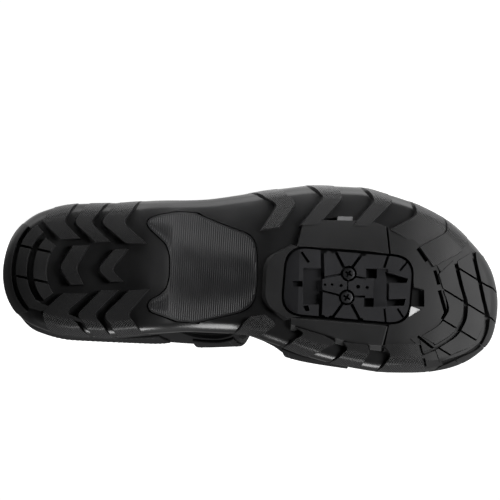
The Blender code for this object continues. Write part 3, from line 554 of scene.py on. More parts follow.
POCKET_CENTRE = (202.0, -1.0)
POCKET_SIZE = (75.0, 40.5)
POCKET_CORNER = 13.0
POCKET_TURN = math.radians(1.8)
POCKET_FLOOR = 8.6
POCKET_ROOM = 0.5
CORNER_STEPS = 8
CORNER_SHARE = 0.45
GAP = 0.3


def prism(name, outline, low, high):
    """A straight body over a flat outline."""
    mesh = bmesh.new()
    loops = []
    for level in (low, high):
        spots = laid(np.column_stack([outline, np.full(len(outline), level)]))
        loops.append([mesh.verts.new(spot) for spot in spots])
        mesh.faces.new(loops[-1])
    for i in range(len(outline)):
        j = (i + 1) % len(outline)
        mesh.faces.new((loops[0][i], loops[0][j], loops[1][j], loops[1][i]))
    bmesh.ops.recalc_face_normals(mesh, faces=mesh.faces)
    data = bpy.data.meshes.new(name)
    mesh.to_mesh(data)
    mesh.free()
    return link(name, data)


def rounded(corners, radius):
    """An outline with its corners rounded off."""
    corners = np.asarray(corners, float)
    points = []
    for before, here, after in zip(np.roll(corners, 1, 0), corners, np.roll(corners, -1, 0)):
        arms = []
        for arm in (before - here, after - here):
            long = np.linalg.norm(arm)
            arms.append(arm / long * min(radius, long * CORNER_SHARE))
        back, ahead = arms
        for t in np.linspace(0, 1, CORNER_STEPS + 1):
            points.append(here + (1 - t)**2 * back + t**2 * ahead)
    return np.array(points)


def box_outline(centre, size, turn):
    """The corners of a turned rectangle."""
    corners = np.array([(-1, -1), (1, -1), (1, 1), (-1, 1)]) * np.array(size) / 2
    sine, cosine = math.sin(turn), math.cos(turn)
    return corners @ np.array([[cosine, sine], [-sine, cosine]]) + np.array(centre)


def disc(centre, radius, sides=32):
    """A many-sided circle."""
    turn = np.linspace(0, 2 * math.pi, sides, endpoint=False)
    return np.array(centre) + radius * np.stack([np.cos(turn), np.sin(turn)], -1)


def strip(from_x, from_y, to_x, to_y, wide):
    """The corners of a straight strip of some width."""
    run = np.array((to_x - from_x, to_y - from_y))
    centre = ((from_x + to_x) / 2, (from_y + to_y) / 2)
    return box_outline(centre, (np.linalg.norm(run), wide), math.atan2(run[1], run[0]))


def slits_in(ground):
    """The outlines of the slits cut in one stretch of raised ground."""
    return [strip(*row[1:]) for row in GROUND_SLITS[1:] if row[0] == ground]


SOLE_STATIONS = 170
SOLE_ACROSS = 22
EDGE_STEPS = (0, 0.02, 0.06, 0.13, 0.20, 0.26, 0.31, 0.36,
              0.41, 0.46, 0.51, 0.56, 0.62, 0.7, 0.8, 1.0)
EDGE_RIB = (
    ("x", "lateral", "medial"),
    (0, 0.0, 0.0),
    (72, 0.0, 0.0),
    (86, 0.4, 0.0),
    (100, 0.4, 0.0),
    (112, 0.4, 0.7),
    (122, 0.4, 1.35),
    (134, 0.4, 1.45),
    (144, 0.3, 0.9),
    (154, 0.1, 0.0),
    (164, 0.0, 0.0),
    (291.4, 0.0, 0.0),
)
EDGE_RIB_IN = (2.7, 7.5)
EDGE_RIB_WIDE = (1.0, 3.2)


def edge_rib(plan):
    """How far the rib along the waist's edge stands off the skin."""
    at = columns(EDGE_RIB)
    depth, out = rim_depth(plan)
    ribs = [glide(at["x"], at[side], plan[..., 0]) * np.exp(-((depth - inset) / wide)**2)
            for side, inset, wide in zip(("lateral", "medial"), EDGE_RIB_IN, EDGE_RIB_WIDE)]
    return np.where(out[..., 1] < 0, *ribs)


def soften(made, width, segments=2, angle=38):
    """Rounds the hard edges of a moulded piece."""
    bevel = made.modifiers.new("rounded edges", "BEVEL")
    bevel.width = width * MM
    bevel.segments = segments
    bevel.limit_method = "ANGLE"
    bevel.angle_limit = math.radians(angle)
    bevel.harden_normals = True
    return made


def carve(made, tool):
    """Cuts a helper out of a piece and throws the helper away."""
    cut = made.modifiers.new("cut", "BOOLEAN")
    cut.operation = "DIFFERENCE"
    cut.object = tool
    evaluated = made.evaluated_get(bpy.context.evaluated_depsgraph_get())
    mesh = bpy.data.meshes.new_from_object(evaluated)
    made.modifiers.clear()
    made.data = mesh
    bpy.data.objects.remove(tool, do_unlink=True)
    return made


def dress(made, material, slot, *nodes):
    """Gives a piece its finish, hangs it on the root body and hides the CAD parts that it replaces."""
    made.data.materials.clear()
    made.data.materials.append(material)
    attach(made, "root")
    if nodes:
        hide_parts(*nodes)
    return made


CLOUD_AT = (0.3, 0.7)
RANGE = ("From Min", "From Max", "To Min", "To Max")


def clouded(name, colour, roughness, cloud, swing, gloss):
    """A finish whose colour and gloss drift in soft clouds, with what its grain hangs on."""
    material = bpy.data.materials.new(name)
    material.use_nodes = True
    tree = material.node_tree
    shader = tree.nodes["Principled BSDF"]
    place = tree.nodes.new("ShaderNodeTexCoord").outputs["Object"]
    mottle = tree.nodes.new("ShaderNodeTexNoise")
    mottle.inputs["Scale"].default_value = cloud[0]
    mottle.inputs["Detail"].default_value = cloud[1]
    tree.links.new(place, mottle.inputs["Vector"])
    tint = tree.nodes.new("ShaderNodeValToRGB")
    for element, position, share in zip(tint.color_ramp.elements, CLOUD_AT, (1 - swing, 1 + swing)):
        element.position = position
        element.color = (*[c * share for c in colour], 1.0)
    tree.links.new(mottle.outputs["Fac"], tint.inputs["Fac"])
    tree.links.new(tint.outputs["Color"], shader.inputs["Base Color"])
    sheen = tree.nodes.new("ShaderNodeMapRange")
    sheen.inputs["To Min"].default_value = roughness + gloss[0]
    sheen.inputs["To Max"].default_value = roughness + gloss[1]
    tree.links.new(mottle.outputs["Fac"], sheen.inputs["Value"])
    tree.links.new(sheen.outputs["Result"], shader.inputs["Roughness"])
    return material, tree, shader, place, tint


def relief_on(tree, shader, pattern, strength, deep):
    """A fine relief on a finish, in millimetres."""
    relief = tree.nodes.new("ShaderNodeBump")
    relief.inputs["Strength"].default_value = strength
    relief.inputs["Distance"].default_value = deep * MM
    tree.links.new(pattern, relief.inputs["Height"])
    tree.links.new(relief.outputs["Normal"], shader.inputs["Normal"])
    return relief


def faded(tree, value, span):
    """A value carried from one range to another."""
    fade = tree.nodes.new("ShaderNodeMapRange")
    for socket, limit in zip(RANGE, span):
        fade.inputs[socket].default_value = limit
    tree.links.new(value, fade.inputs["Value"])
    return fade.outputs["Result"]


def reckoned(tree, operation, *terms):
    """The result of a sum on sockets and numbers."""
    node = tree.nodes.new("ShaderNodeMath")
    node.operation = operation
    for socket, term in zip(node.inputs, terms):
        if isinstance(term, float):
            socket.default_value = term
        else:
            tree.links.new(term, socket)
    return node.outputs["Value"]


RUBBER_CLOUD = (60.0, 6.0)
RUBBER_SWING = 0.18
RUBBER_GLOSS = (-0.06, 0.08)
RUBBER_SHINE = 0.30
COAT_ROUGHNESS = 0.22
PITS = 2600.0
PIT_STRENGTH = 0.25
PIT_DEEP = 0.06
KNURL_PITCH = 0.95
KNURL_TURN = 48
KNURL_DEEP = 0.45
# Painted light and shade on the knurl: the diamonds' crests are painted paler and their hollows
# darker.
KNURL_PAINTED_LIGHT = 2.8
KNURL_PAINTED_SHADE = -0.7
KNURL_REACH = (6.5, 9.0, 1.0, 0.22)
# Painted highlight: the knurled lugs are painted up to 2.6 times paler within 1.5 mm of the rim,
# fading out 6.4 mm in.
RIM_PAINTED_HIGHLIGHT_REACH = (1.5, 6.4, 2.6, 1.0)


def rubber(name, colour, roughness, coat, knurl=0.0):
    """Black rubber: mottled, faintly pitted, and crossed by a diamond knurl where there is one, with
    painted light and shade on the knurl and a painted highlight towards the rim.
    """
    made = clouded(name, colour, roughness, RUBBER_CLOUD, RUBBER_SWING, RUBBER_GLOSS)
    material, tree, shader, place, tint = made
    shader.inputs["Specular IOR Level"].default_value = RUBBER_SHINE
    shader.inputs["Coat Weight"].default_value = coat
    shader.inputs["Coat Roughness"].default_value = COAT_ROUGHNESS
    pits = tree.nodes.new("ShaderNodeTexNoise")
    pits.inputs["Scale"].default_value = PITS
    tree.links.new(place, pits.inputs["Vector"])
    relief = relief_on(tree, shader, pits.outputs["Fac"], PIT_STRENGTH, PIT_DEEP)
    if knurl:
        flat = tree.nodes.new("ShaderNodeAttribute")
        flat.attribute_name = "plan"
        waves = []
        for turn in (KNURL_TURN, -KNURL_TURN):
            lay = tree.nodes.new("ShaderNodeMapping")
            lay.inputs["Rotation"].default_value[2] = math.radians(turn)
            lay.inputs["Scale"].default_value[2] = 0.0
            tree.links.new(flat.outputs["Vector"], lay.inputs["Vector"])
            wave = tree.nodes.new("ShaderNodeTexWave")
            wave.inputs["Scale"].default_value = math.pi / 10 / knurl
            tree.links.new(lay.outputs["Vector"], wave.inputs["Vector"])
            waves.append(wave.outputs["Fac"])
        cross = reckoned(tree, "MULTIPLY", *waves)
        inward = tree.nodes.new("ShaderNodeSeparateXYZ")
        tree.links.new(flat.outputs["Vector"], inward.inputs["Vector"])
        reach = faded(tree, inward.outputs["Z"], KNURL_REACH)
        # Painted highlight on the lugs' outer ends, paler towards the rim.
        painted_rim_highlight = faded(tree, inward.outputs["Z"], RIM_PAINTED_HIGHLIGHT_REACH)
        # Painted light and shade that follows the knurl's relief, scaled by how far in from the rim
        # the knurl lies.
        knurl_painted_shading = reckoned(tree, "MULTIPLY_ADD", cross, KNURL_PAINTED_LIGHT, KNURL_PAINTED_SHADE)
        knurl_painted_light_and_shade = reckoned(tree, "MULTIPLY_ADD", knurl_painted_shading, reach, 1.0)
        painted_light_colour = tree.nodes.new("ShaderNodeVectorMath")
        painted_light_colour.operation = "SCALE"
        tree.links.new(tint.outputs["Color"], painted_light_colour.inputs["Vector"])
        tree.links.new(reckoned(tree, "MULTIPLY", knurl_painted_light_and_shade, painted_rim_highlight), painted_light_colour.inputs["Scale"])
        tree.links.new(painted_light_colour.outputs["Vector"], shader.inputs["Base Color"])
        diamond = relief_on(tree, shader, cross, 1.0, KNURL_DEEP)
        tree.links.new(reach, diamond.inputs["Strength"])
        tree.links.new(relief.outputs["Normal"], diamond.inputs["Normal"])
    return material


skin_rubber = rubber("smooth sole rubber", (0.0100, 0.0100, 0.0103), 0.34, 0.3)
bar_rubber = rubber("sole rubber", (0.0085, 0.0085, 0.0088), 0.55, 0.0)
lug_rubber = rubber("knurled sole rubber", (0.0085, 0.0085, 0.0088), 0.48, 0.1, KNURL_PITCH)

sole_plan = sole_rows(SOLE_STATIONS, [ROLL * share for share in EDGE_STEPS], SOLE_ACROSS)
skin = on_sole(sole_plan, edge_rib(sole_plan))
rims = sole_plan[:, [0, -1]]
seat = np.concatenate([rims, (height("skin", rims[..., 0]) + CORE)[..., None]], -1)
walls = [np.stack([skin[:, j], seat[:, j]]) for j in (0, -1)]
outsole_skin = moulded("outsole_skin", [skin, seat, *walls])
plate_room = slab(plate_grid(PLATE_GAP, 2 * LUG), plate_grid(PLATE_GAP, -PLATE_SEAT))
carve(outsole_skin, moulded("plate_seat", plate_room))
pocket_size = np.array(POCKET_SIZE) + 2 * POCKET_ROOM
pocket_plan = rounded(box_outline(POCKET_CENTRE, pocket_size, POCKET_TURN), POCKET_CORNER)
carve(outsole_skin, prism("pocket", pocket_plan, -LUG, POCKET_FLOOR + GAP))
carve(outsole_skin, prism("pry_slot", np.array(PRY_SLOT), -LUG, PRY_SLOT_FLOOR))
carve(outsole_skin, prism("bar_notch", strip(*BAR_NOTCH), -LUG, BAR_NOTCH_FLOOR))
soften(outsole_skin, 0.35)
dress(outsole_skin, skin_rubber, "rubber", "outsole")
outsole_chevrons = soften(moulded_lugs("outsole_chevrons", chevrons()), 0.5)
dress(outsole_chevrons, lug_rubber, "rubber", "outsole")
for name, *ground in RAISED[1:]:
    raised = moulded_lugs(f"outsole_{name}", [raised_ground(*ground)])
    for outline in [pocket_plan, np.array(PRY_SLOT), np.array(PRY_RAMP)[:, :2]] + slits_in(name):
        carve(raised, prism("ground_cut", outline, -2 * LUG, POCKET_FLOOR + GAP))
    soften(raised, 0.6, 3)
    dress(raised, bar_rubber, "rubber", "outsole")
heel_blocks = bands(HEEL_BANDS, HEEL_SLITS, HEEL_SLIT, heel_line)
toe_blocks = bands(TOE_BANDS, TOE_SLITS, TOE_SLIT, toe_line)
outsole_bands = soften(moulded_lugs("outsole_bands", [*heel_blocks, *toe_blocks]), 0.4)
dress(outsole_bands, bar_rubber, "rubber", "outsole")
# The pry ramp is a facet of the black outsole painted pale grey: a painted highlight.
bright_painted_highlight_rubber = rubber("sole rubber with bright painted highlight", (0.42, 0.42, 0.42), 0.5, 0.0)
# The bar ramp is painted far paler than the rubber round it: a painted highlight, on a facet that also
# slopes towards the key light.
dim_painted_highlight_rubber = rubber("sole rubber with dim painted highlight", (0.075, 0.075, 0.077), 0.5, 0.0)
ramps = (("pry_ramp", PRY_RAMP, bright_painted_highlight_rubber), ("bar_ramp", BAR_RAMP, dim_painted_highlight_rubber))
for name, corners, finish in ramps:
    ramp = np.array(corners)
    facet = prism(f"outsole_{name}", ramp[:, :2], ramp[:, 2], ramp[:, 2] + RAMP_DEEP)
    dress(soften(facet, 0.1), finish, "rubber", "outsole")


# Arch plate: a stiff nylon plate let into the waist of the sole, just proud of its skin. Fine ribs
# run right across it, and it is moulded in with the rubber.
RIB_PITCH = 1.25
RIB_WIDTH = 0.8
RIB_HEIGHT = 0.11
RIB_SIDES = 8
RIB_MARGIN = 0.7
RIB_LOOKS = 400
PLATE_PROUD = 0.9
PLAIN_CLOUD = (90.0, 5.0)
PLAIN_SWING = 0.15
PLAIN_GLOSS = (-0.07, 0.07)
GRAIN_STRENGTH = 0.4


def plain(name, colour, roughness, grain, deep, metal=0.0, shine=0.25):
    """A moulded, woven or plated finish with a fine grain."""
    made = clouded(name, colour, roughness, PLAIN_CLOUD, PLAIN_SWING, PLAIN_GLOSS)
    material, tree, shader, place, _ = made
    shader.inputs["Specular IOR Level"].default_value = shine
    shader.inputs["Metallic"].default_value = metal
    cells = tree.nodes.new("ShaderNodeTexVoronoi")
    cells.inputs["Scale"].default_value = 1.0 / (grain * MM)
    tree.links.new(place, cells.inputs["Vector"])
    relief_on(tree, shader, cells.outputs["Distance"], GRAIN_STRENGTH, deep)
    return material


def tree_with(name, sizes):
    """A geometry tree with a geometry input, named sizes and a material, and its first nodes."""
    tree = bpy.data.node_groups.new(name, "GeometryNodeTree")
    tree.interface.new_socket("Geometry", in_out="INPUT", socket_type="NodeSocketGeometry")
    for size in sizes:
        tree.interface.new_socket(size, in_out="INPUT", socket_type="NodeSocketFloat")
    tree.interface.new_socket("Finish", in_out="INPUT", socket_type="NodeSocketMaterial")
    tree.interface.new_socket("Geometry", in_out="OUTPUT", socket_type="NodeSocketGeometry")
    return tree, tree.nodes.new("NodeGroupInput"), tree.nodes.new("NodeGroupOutput")


def end_tree(tree, start, end, instances):
    """Makes the instances real, smooth and finished."""
    real = tree.nodes.new("GeometryNodeRealizeInstances")
    smooth = tree.nodes.new("GeometryNodeSetShadeSmooth")
    finish = tree.nodes.new("GeometryNodeSetMaterial")
    tree.links.new(instances, real.inputs["Geometry"])
    tree.links.new(real.outputs["Geometry"], smooth.inputs["Geometry"])
    tree.links.new(smooth.outputs["Geometry"], finish.inputs["Geometry"])
    tree.links.new(start.outputs["Finish"], finish.inputs["Material"])
    tree.links.new(finish.outputs["Geometry"], end.inputs["Geometry"])


def grow(made, tree, values):
    """Runs a tree on an object and keeps the result as a plain mesh."""
    modifier = made.modifiers.new(tree.name, "NODES")
    modifier.node_group = tree
    for item in tree.interface.items_tree:
        if item.in_out == "INPUT" and item.name in values:
            modifier[item.identifier] = values[item.name]
    evaluated = made.evaluated_get(bpy.context.evaluated_depsgraph_get())
    mesh = bpy.data.meshes.new_from_object(evaluated)
    made.modifiers.clear()
    made.data = mesh
    return made


def rib_tree():
    """Half-round ribs: a bar at each point, as long as the point says, all lying across the sole."""
    tree, start, end = tree_with("arch_ribs", ("Width", "Height"))
    bar = tree.nodes.new("GeometryNodeMeshCylinder")
    bar.inputs["Vertices"].default_value = RIB_SIDES
    bar.inputs["Radius"].default_value = 1.0
    bar.inputs["Depth"].default_value = 1.0
    run = tree.nodes.new("GeometryNodeInputNamedAttribute")
    run.inputs["Name"].default_value = "rib_length"
    size = tree.nodes.new("ShaderNodeCombineXYZ")
    tree.links.new(start.outputs["Width"], size.inputs["X"])
    tree.links.new(start.outputs["Height"], size.inputs["Y"])
    tree.links.new(run.outputs["Attribute"], size.inputs["Z"])
    aim = tree.nodes.new("FunctionNodeAxesToRotation")
    aim.primary_axis = "Z"
    aim.secondary_axis = "Y"
    aim.inputs["Primary Axis"].default_value = LAID.to_3x3() @ Vector((0, 1, 0))
    aim.inputs["Secondary Axis"].default_value = LAID.to_3x3() @ Vector((0, 0, -1))
    put = tree.nodes.new("GeometryNodeInstanceOnPoints")
    tree.links.new(start.outputs["Geometry"], put.inputs["Points"])
    tree.links.new(bar.outputs["Mesh"], put.inputs["Instance"])
    tree.links.new(aim.outputs["Rotation"], put.inputs["Rotation"])
    tree.links.new(size.outputs["Vector"], put.inputs["Scale"])
    end_tree(tree, start, end, put.outputs["Instances"])
    return tree


def rib_points():
    """Where each rib lies and how long it is, inside the plate's edge."""
    at = columns(ARCH_PLATE)
    y = np.linspace(at["y"][0], at["y"][-1], RIB_LOOKS)
    back, front = [glide(at["y"], at[edge], y) for edge in ("back", "front")]
    for x in np.arange(at["back"].min() + RIB_MARGIN, at["front"].max() - RIB_MARGIN, RIB_PITCH):
        inside = (back + RIB_MARGIN < x) & (x < front - RIB_MARGIN)
        ends = np.flatnonzero(np.diff(np.concatenate([[0], inside.astype(int), [0]])))
        for first, last in zip(ends[::2], ends[1::2]):
            low, high = y[first] + RIB_MARGIN, y[last - 1] - RIB_MARGIN
            if high - low > 2 * RIB_PITCH:
                spot = on_sole(np.array([x, (low + high) / 2]), PLATE_PROUD)
                yield spot, (high - low) * MM


nylon = plain("arch nylon", (0.014, 0.014, 0.0147), 0.42, 0.5, 0.02)
plate_faces = slab(plate_grid(0.0, PLATE_PROUD), plate_grid(0.0, PLATE_GAP - PLATE_SEAT))
arch_plate = soften(moulded("arch_plate_body", plate_faces), 0.4)
dress(arch_plate, nylon, "nylon", "arch_plate")
ribs = list(rib_points())
rib_mesh = bpy.data.meshes.new("arch_ribs")
rib_mesh.from_pydata([laid(spot) for spot, _ in ribs], [], [])
rib_length = rib_mesh.attributes.new("rib_length", "FLOAT", "POINT")
rib_length.data.foreach_set("value", [run for _, run in ribs])
arch_ribs = grow(link("arch_ribs", rib_mesh), rib_tree(),
                 {"Width": RIB_WIDTH / 2 * MM, "Height": RIB_HEIGHT * MM, "Finish": nylon})
dress(arch_ribs, nylon, "nylon", "arch_plate")


# Cleat cover: a stiff rubber block that fills the cleat pocket until cleats are fitted. It is scored
# into petals round two bolts, hollowed at both ends, and marked with a row of dimples.
COVER_GAP = 0.9
COVER_FACE = 1.2
BOLT_SPACING = 14.0
WELL = 4.7
WELL_DEPTH = 5.6
DOT_DEEP = 2.4
DOT_SIDES = 12
NOTCH = 1.7
NOTCH_DEEP = 5.0
NOTCH_SIDES = 16
SCORES = (
    ("from_x", "from_y", "to_x", "to_y", "wide", "deep"),
    (186.0, -21.8, 187.4, -4.0, 2.0, 5.4),
    (186.7, 2.2, 187.0, 19.8, 2.0, 5.4),
    (193.0, -22.2, 199.4, -11.0, 1.8, 4.6),
    (210.8, -22.0, 204.0, -11.6, 1.8, 4.6),
    (192.8, 20.4, 199.4, 10.0, 1.8, 4.6),
    (210.8, 20.0, 204.8, 9.8, 1.8, 4.6),
    (187.4, -4.7, 198.4, -7.5, 1.3, 3.4),
    (206.0, -6.4, 212.6, -5.6, 1.3, 3.4),
    (186.7, 2.9, 198.4, 5.3, 1.3, 3.4),
    (206.1, 5.3, 212.6, 5.0, 1.3, 3.4),
    (202.0, -3.6, 202.0, 3.0, 0.8, 2.0),
    (225.4, -22.2, 222.7, -12.6, 1.5, 2.6),
    (236.4, -17.4, 232.1, -11.4, 1.3, 2.6),
    (224.0, 11.3, 225.4, 20.8, 1.3, 2.6),
    (231.6, 10.9, 236.0, 17.0, 1.3, 2.6),
    (174.0, -19.2, 178.7, -13.2, 1.5, 2.6),
)
HOLLOWS = (
    ("corners", "deep"),
    (((163.0, -21.0), (174.0, -21.0), (174.8, 19.0), (163.6, 19.0)), (2.8, -0.3, -0.3, 2.8)),
    (((175.6, -9.9), (187.0, -10.5), (187.6, 11.1), (176.6, 11.7)), (4.4, 3.6, 3.6, 4.4)),
    (((170.0, -2.0), (175.6, -2.2), (175.8, 1.3), (170.2, 1.5)), (3.4, 2.4, 2.4, 3.4)),
    (((176.5, 12.4), (179.6, 11.8), (180.6, 15.0), (178.4, 15.6)), (2.6, 2.2, 2.2, 2.6)),
    (((217.0, -11.9), (225.0, -12.1), (226.3, 10.0), (217.0, 10.8)), (1.6, 1.0, 1.0, 1.6)),
    (((223.4, -10.4), (237.0, -7.0), (236.2, -4.4), (225.2, -3.8)), (6.8, 6.0, 6.0, 6.8)),
    (((225.0, 5.8), (236.2, 4.8), (235.4, 9.1), (226.0, 9.8)), (6.8, 6.0, 6.0, 6.8)),
    (((212.0, 5.8), (217.6, 5.4), (217.8, 10.8), (212.0, 11.0)), (6.8, 6.0, 6.0, 6.8)),
    (((212.2, -11.6), (218.6, -11.9), (218.8, -6.2), (212.4, -5.8)), (6.8, 6.0, 6.0, 6.8)),
    (((224.6, -4.4), (226.0, -4.4), (226.4, 6.2), (225.0, 6.2)), (3.4, 3.4, 3.4, 3.4)),
)
DOTS = (
    ("x", "y", "radius"),
    (188.8, -0.7, 0.8),
    (192.9, -1.0, 0.8),
    (198.2, -0.7, 1.0),
    (208.1, -0.6, 1.2),
    (213.4, -0.4, 1.0),
)
NOTCHES = (
    ("x", "y"),
    (187.6, -20.9),
    (192.2, -21.0),
    (210.4, -20.4),
    (188.4, 18.7),
    (193.2, 18.8),
    (210.6, 19.2),
)

cover_finish = rubber("cover rubber", (0.013, 0.013, 0.0145), 0.52, 0.0)
cover_size = np.array(POCKET_SIZE) - 2 * COVER_GAP
cover_plan = rounded(box_outline(POCKET_CENTRE, cover_size, POCKET_TURN), POCKET_CORNER - COVER_GAP)
cleat_cover = prism("cleat_cover_body", cover_plan, COVER_FACE, POCKET_FLOOR)
across_bolts = np.array([-math.sin(POCKET_TURN), math.cos(POCKET_TURN)])
bolts = [np.array(POCKET_CENTRE) + across_bolts * BOLT_SPACING / 2 * side for side in (-1, 1)]
cuts = [(disc(place, WELL), WELL_DEPTH) for place in bolts]
cuts += [(disc((x, y), radius, DOT_SIDES), DOT_DEEP) for x, y, radius in DOTS[1:]]
cuts += [(disc(spot, NOTCH, NOTCH_SIDES), NOTCH_DEEP) for spot in NOTCHES[1:]]
cuts += [(np.array(corners), np.array(deep)) for corners, deep in HOLLOWS[1:]]
cuts += [(strip(*row[:5]), row[5]) for row in SCORES[1:]]
for outline, deep in cuts:
    carve(cleat_cover, prism("cover_cut", outline, -LUG, COVER_FACE + deep))
soften(cleat_cover, 0.22, 2, 30)
dress(cleat_cover, cover_finish, "cover", "cleat_cover")


# Cleat bolts: two blackened steel bolts with domed heads and a cross recess. They hold the cover in
# the pocket.
HEAD = 3.5
HEAD_DOME = 0.35
HEAD_TALL = 5.0
HEAD_RINGS = 10
HEAD_SIDES = 40
CROSS_LONG = 4.4
CROSS_WIDE = 1.2
CROSS_DEEP = 2.6
CROSS_TURN = 0.5


def bolt_head(name, place):
    """A domed head turned round its axis, with a cross cut into it."""
    turn = np.linspace(0, 2 * math.pi, HEAD_SIDES + 1)
    seat_at = COVER_FACE + WELL_DEPTH
    crown_at = seat_at - HEAD_TALL
    profile = [(0.0, seat_at), (HEAD, seat_at), (HEAD, crown_at + HEAD_DOME)]
    for k in range(1, HEAD_RINGS + 1):
        t = k / HEAD_RINGS * math.pi / 2
        profile.append((HEAD * math.cos(t), crown_at + HEAD_DOME * (1 - math.sin(t))))
    faces = np.array([[(place[0] + r * math.cos(a), place[1] + r * math.sin(a), z) for a in turn]
                      for r, z in profile])
    head = moulded(name, [faces])
    for turned in (CROSS_TURN, CROSS_TURN + math.pi / 2):
        outline = box_outline(place, (CROSS_LONG, CROSS_WIDE), turned)
        carve(head, prism("cross", outline, -LUG, crown_at + CROSS_DEEP))
    return soften(head, 0.15, 2, 40)


steel = plain("blackened bolt steel", (0.05, 0.05, 0.0525), 0.5, 0.3, 0.01, 1.0)
for side, place in zip(("lateral", "medial"), bolts):
    node = f"cleat_screw_{side}"
    dress(bolt_head(f"{node}_head", place), steel, "steel", node)


# Midsole: a foam layer glued on the outsole's seat, with a moulded groove round its side, a rounded
# upper rim and a hollow in its medial side at the arch.
MIDSOLE_SIDE = (
    ("height", "lateral_inset", "medial_inset"),
    (0.0, 0.9, 0.6),
    (0.08, 0.8, 0.5),
    (0.30, 1.2, 0.6),
    (0.36, 1.5, 0.9),
    (0.42, 2.4, 1.6),
    (0.58, 2.6, 1.6),
    (0.64, 2.1, 0.9),
    (0.70, 1.9, 0.6),
    (0.92, 2.5, 0.8),
    (1.0, 3.2, 1.5),
)
MIDSOLE_LEVELS = 24
HOLLOW_RISE = 4
ARCH_HOLLOW = (
    ("x", "in"),
    (0, 0.0),
    (88, 0.0),
    (104, 2.2),
    (118, 4.2),
    (132, 3.8),
    (146, 1.0),
    (158, 0.0),
    (291.4, 0.0),
)


def midsole_levels():
    """Rings of the side from foot to rim, each with its own inset."""
    at = columns(MIDSOLE_SIDE)
    arch = columns(ARCH_HOLLOW)
    for share in np.linspace(0, 1, MIDSOLE_LEVELS + 1):
        insets = [float(np.interp(share, at["height"], at[f"{side}_inset"]))
                  for side in ("lateral", "medial")]
        lines = [sole_rows(SOLE_STATIONS, (0.0, inset), 2) for inset in insets]
        pair = np.stack([lines[0][:, 1], lines[1][:, -2]], 1)
        hollow = glide(arch["x"], arch["in"], pair[:, 1, 0])
        pair[:, 1, 1] -= hollow * min(1.0, HOLLOW_RISE * share)
        low = height("skin", pair[..., 0]) + CORE + GAP
        lift = low + (height("bed", pair[..., 0]) - low) * share
        ring = np.concatenate([pair, lift[..., None]], -1)
        for end in (0, -1):
            ring[end] = ring[end].mean(axis=0)
        yield ring


foam = plain("midsole foam", (0.011, 0.011, 0.0115), 0.55, 0.7, 0.05)
levels = np.array(list(midsole_levels()))
midsole = moulded("midsole_body", [levels[0], levels[-1], levels[:, :, 0], levels[:, :, 1]])
soften(midsole, 0.3, 2, 50)
dress(midsole, foam, "foam", "midsole")


# Insole: a cupped foam bed under a knitted cover, set inside the wall of the upper. It shows at the
# toe and between the straps.
HEEL_RUN = 34.0
HEEL_BACK = 7.0
HEEL_REACH = 70.0
HEEL_LEAN = 17.0
HEEL_BULGE = 0.62
INSOLE = 4.0
INSOLE_GAP = 0.6
INSOLE_EDGE = 1.2
INSOLE_ROUND = 0.9
INSOLE_STEPS = 140
INSOLE_CUP = 4.0
CUP_CENTRE = 60.0
CUP_REACH = 110.0
LAST = (
    ("x", "lateral", "medial", "lateral_flare", "medial_flare", "top", "ridge", "shoulder"),
    (7, 0.5, 0.5, 0, 0, 100, 0.5, 0.80),
    (12, -17.0, 17.2, 0, 0, 101, 0.4, 0.80),
    (22, -26.5, 26.4, 1, 1, 103, 0.3, 0.86),
    (42, -33.0, 30.2, 2, 0.4, 105, 0.0, 0.92),
    (64, -35.2, 30.2, 3, 0.2, 106, 0.0, 0.94),
    (90, -37.0, 28.0, 3, 6.5, 104, 1.0, 0.80),
    (115, -39.0, 23.4, 5, 19, 98, 2.5, 0.64),
    (140, -43.2, 23.4, 9, 16, 87, 4.0, 0.60),
    (160, -47.6, 29.2, 13, 11, 77, 5.0, 0.62),
    (180, -50.8, 35.4, 14, 8, 68.5, 5.5, 0.64),
    (205, -51.4, 39.6, 12, 5, 59.5, 5.0, 0.66),
    (225, -48.0, 41.6, 8, 4, 53, 4.0, 0.68),
    (245, -41.6, 40.6, 5, 3, 48, 2.0, 0.70),
    (262, -33.0, 36.6, 3, 2, 44, 2.0, 0.70),
    (276, -20.0, 28.6, 1, 1, 42, 3.0, 0.70),
    (284, 7.0, 7.0, 0, 0, 41, 7.0, 0.70),
)
LAST_COLUMNS = columns(LAST)


def last_turn(x):
    """Station angle of the last: round at the heel, then straight."""
    share = (np.asarray(x, float) - HEEL_BACK) / HEEL_RUN
    return np.where(share < 1, np.arccos(np.clip(1 - share, -1, 1)), math.pi / 2 + share - 1)


def last_x(turn):
    """The station that an angle stands for."""
    bend = HEEL_RUN * (1 - np.cos(np.minimum(turn, math.pi / 2)))
    return HEEL_BACK + bend + HEEL_RUN * np.maximum(turn - math.pi / 2, 0)


def last_row(name, turn):
    """A column of the last, read smoothly along it."""
    return glide(last_turn(LAST_COLUMNS["x"]), LAST_COLUMNS[name], turn)


INSOLE_ACROSS = np.array((-1.0, -0.99, -0.96, -0.9, -0.8, -0.65, -0.45, -0.22, 0.0,
                          0.22, 0.45, 0.65, 0.8, 0.9, 0.96, 0.99, 1.0))


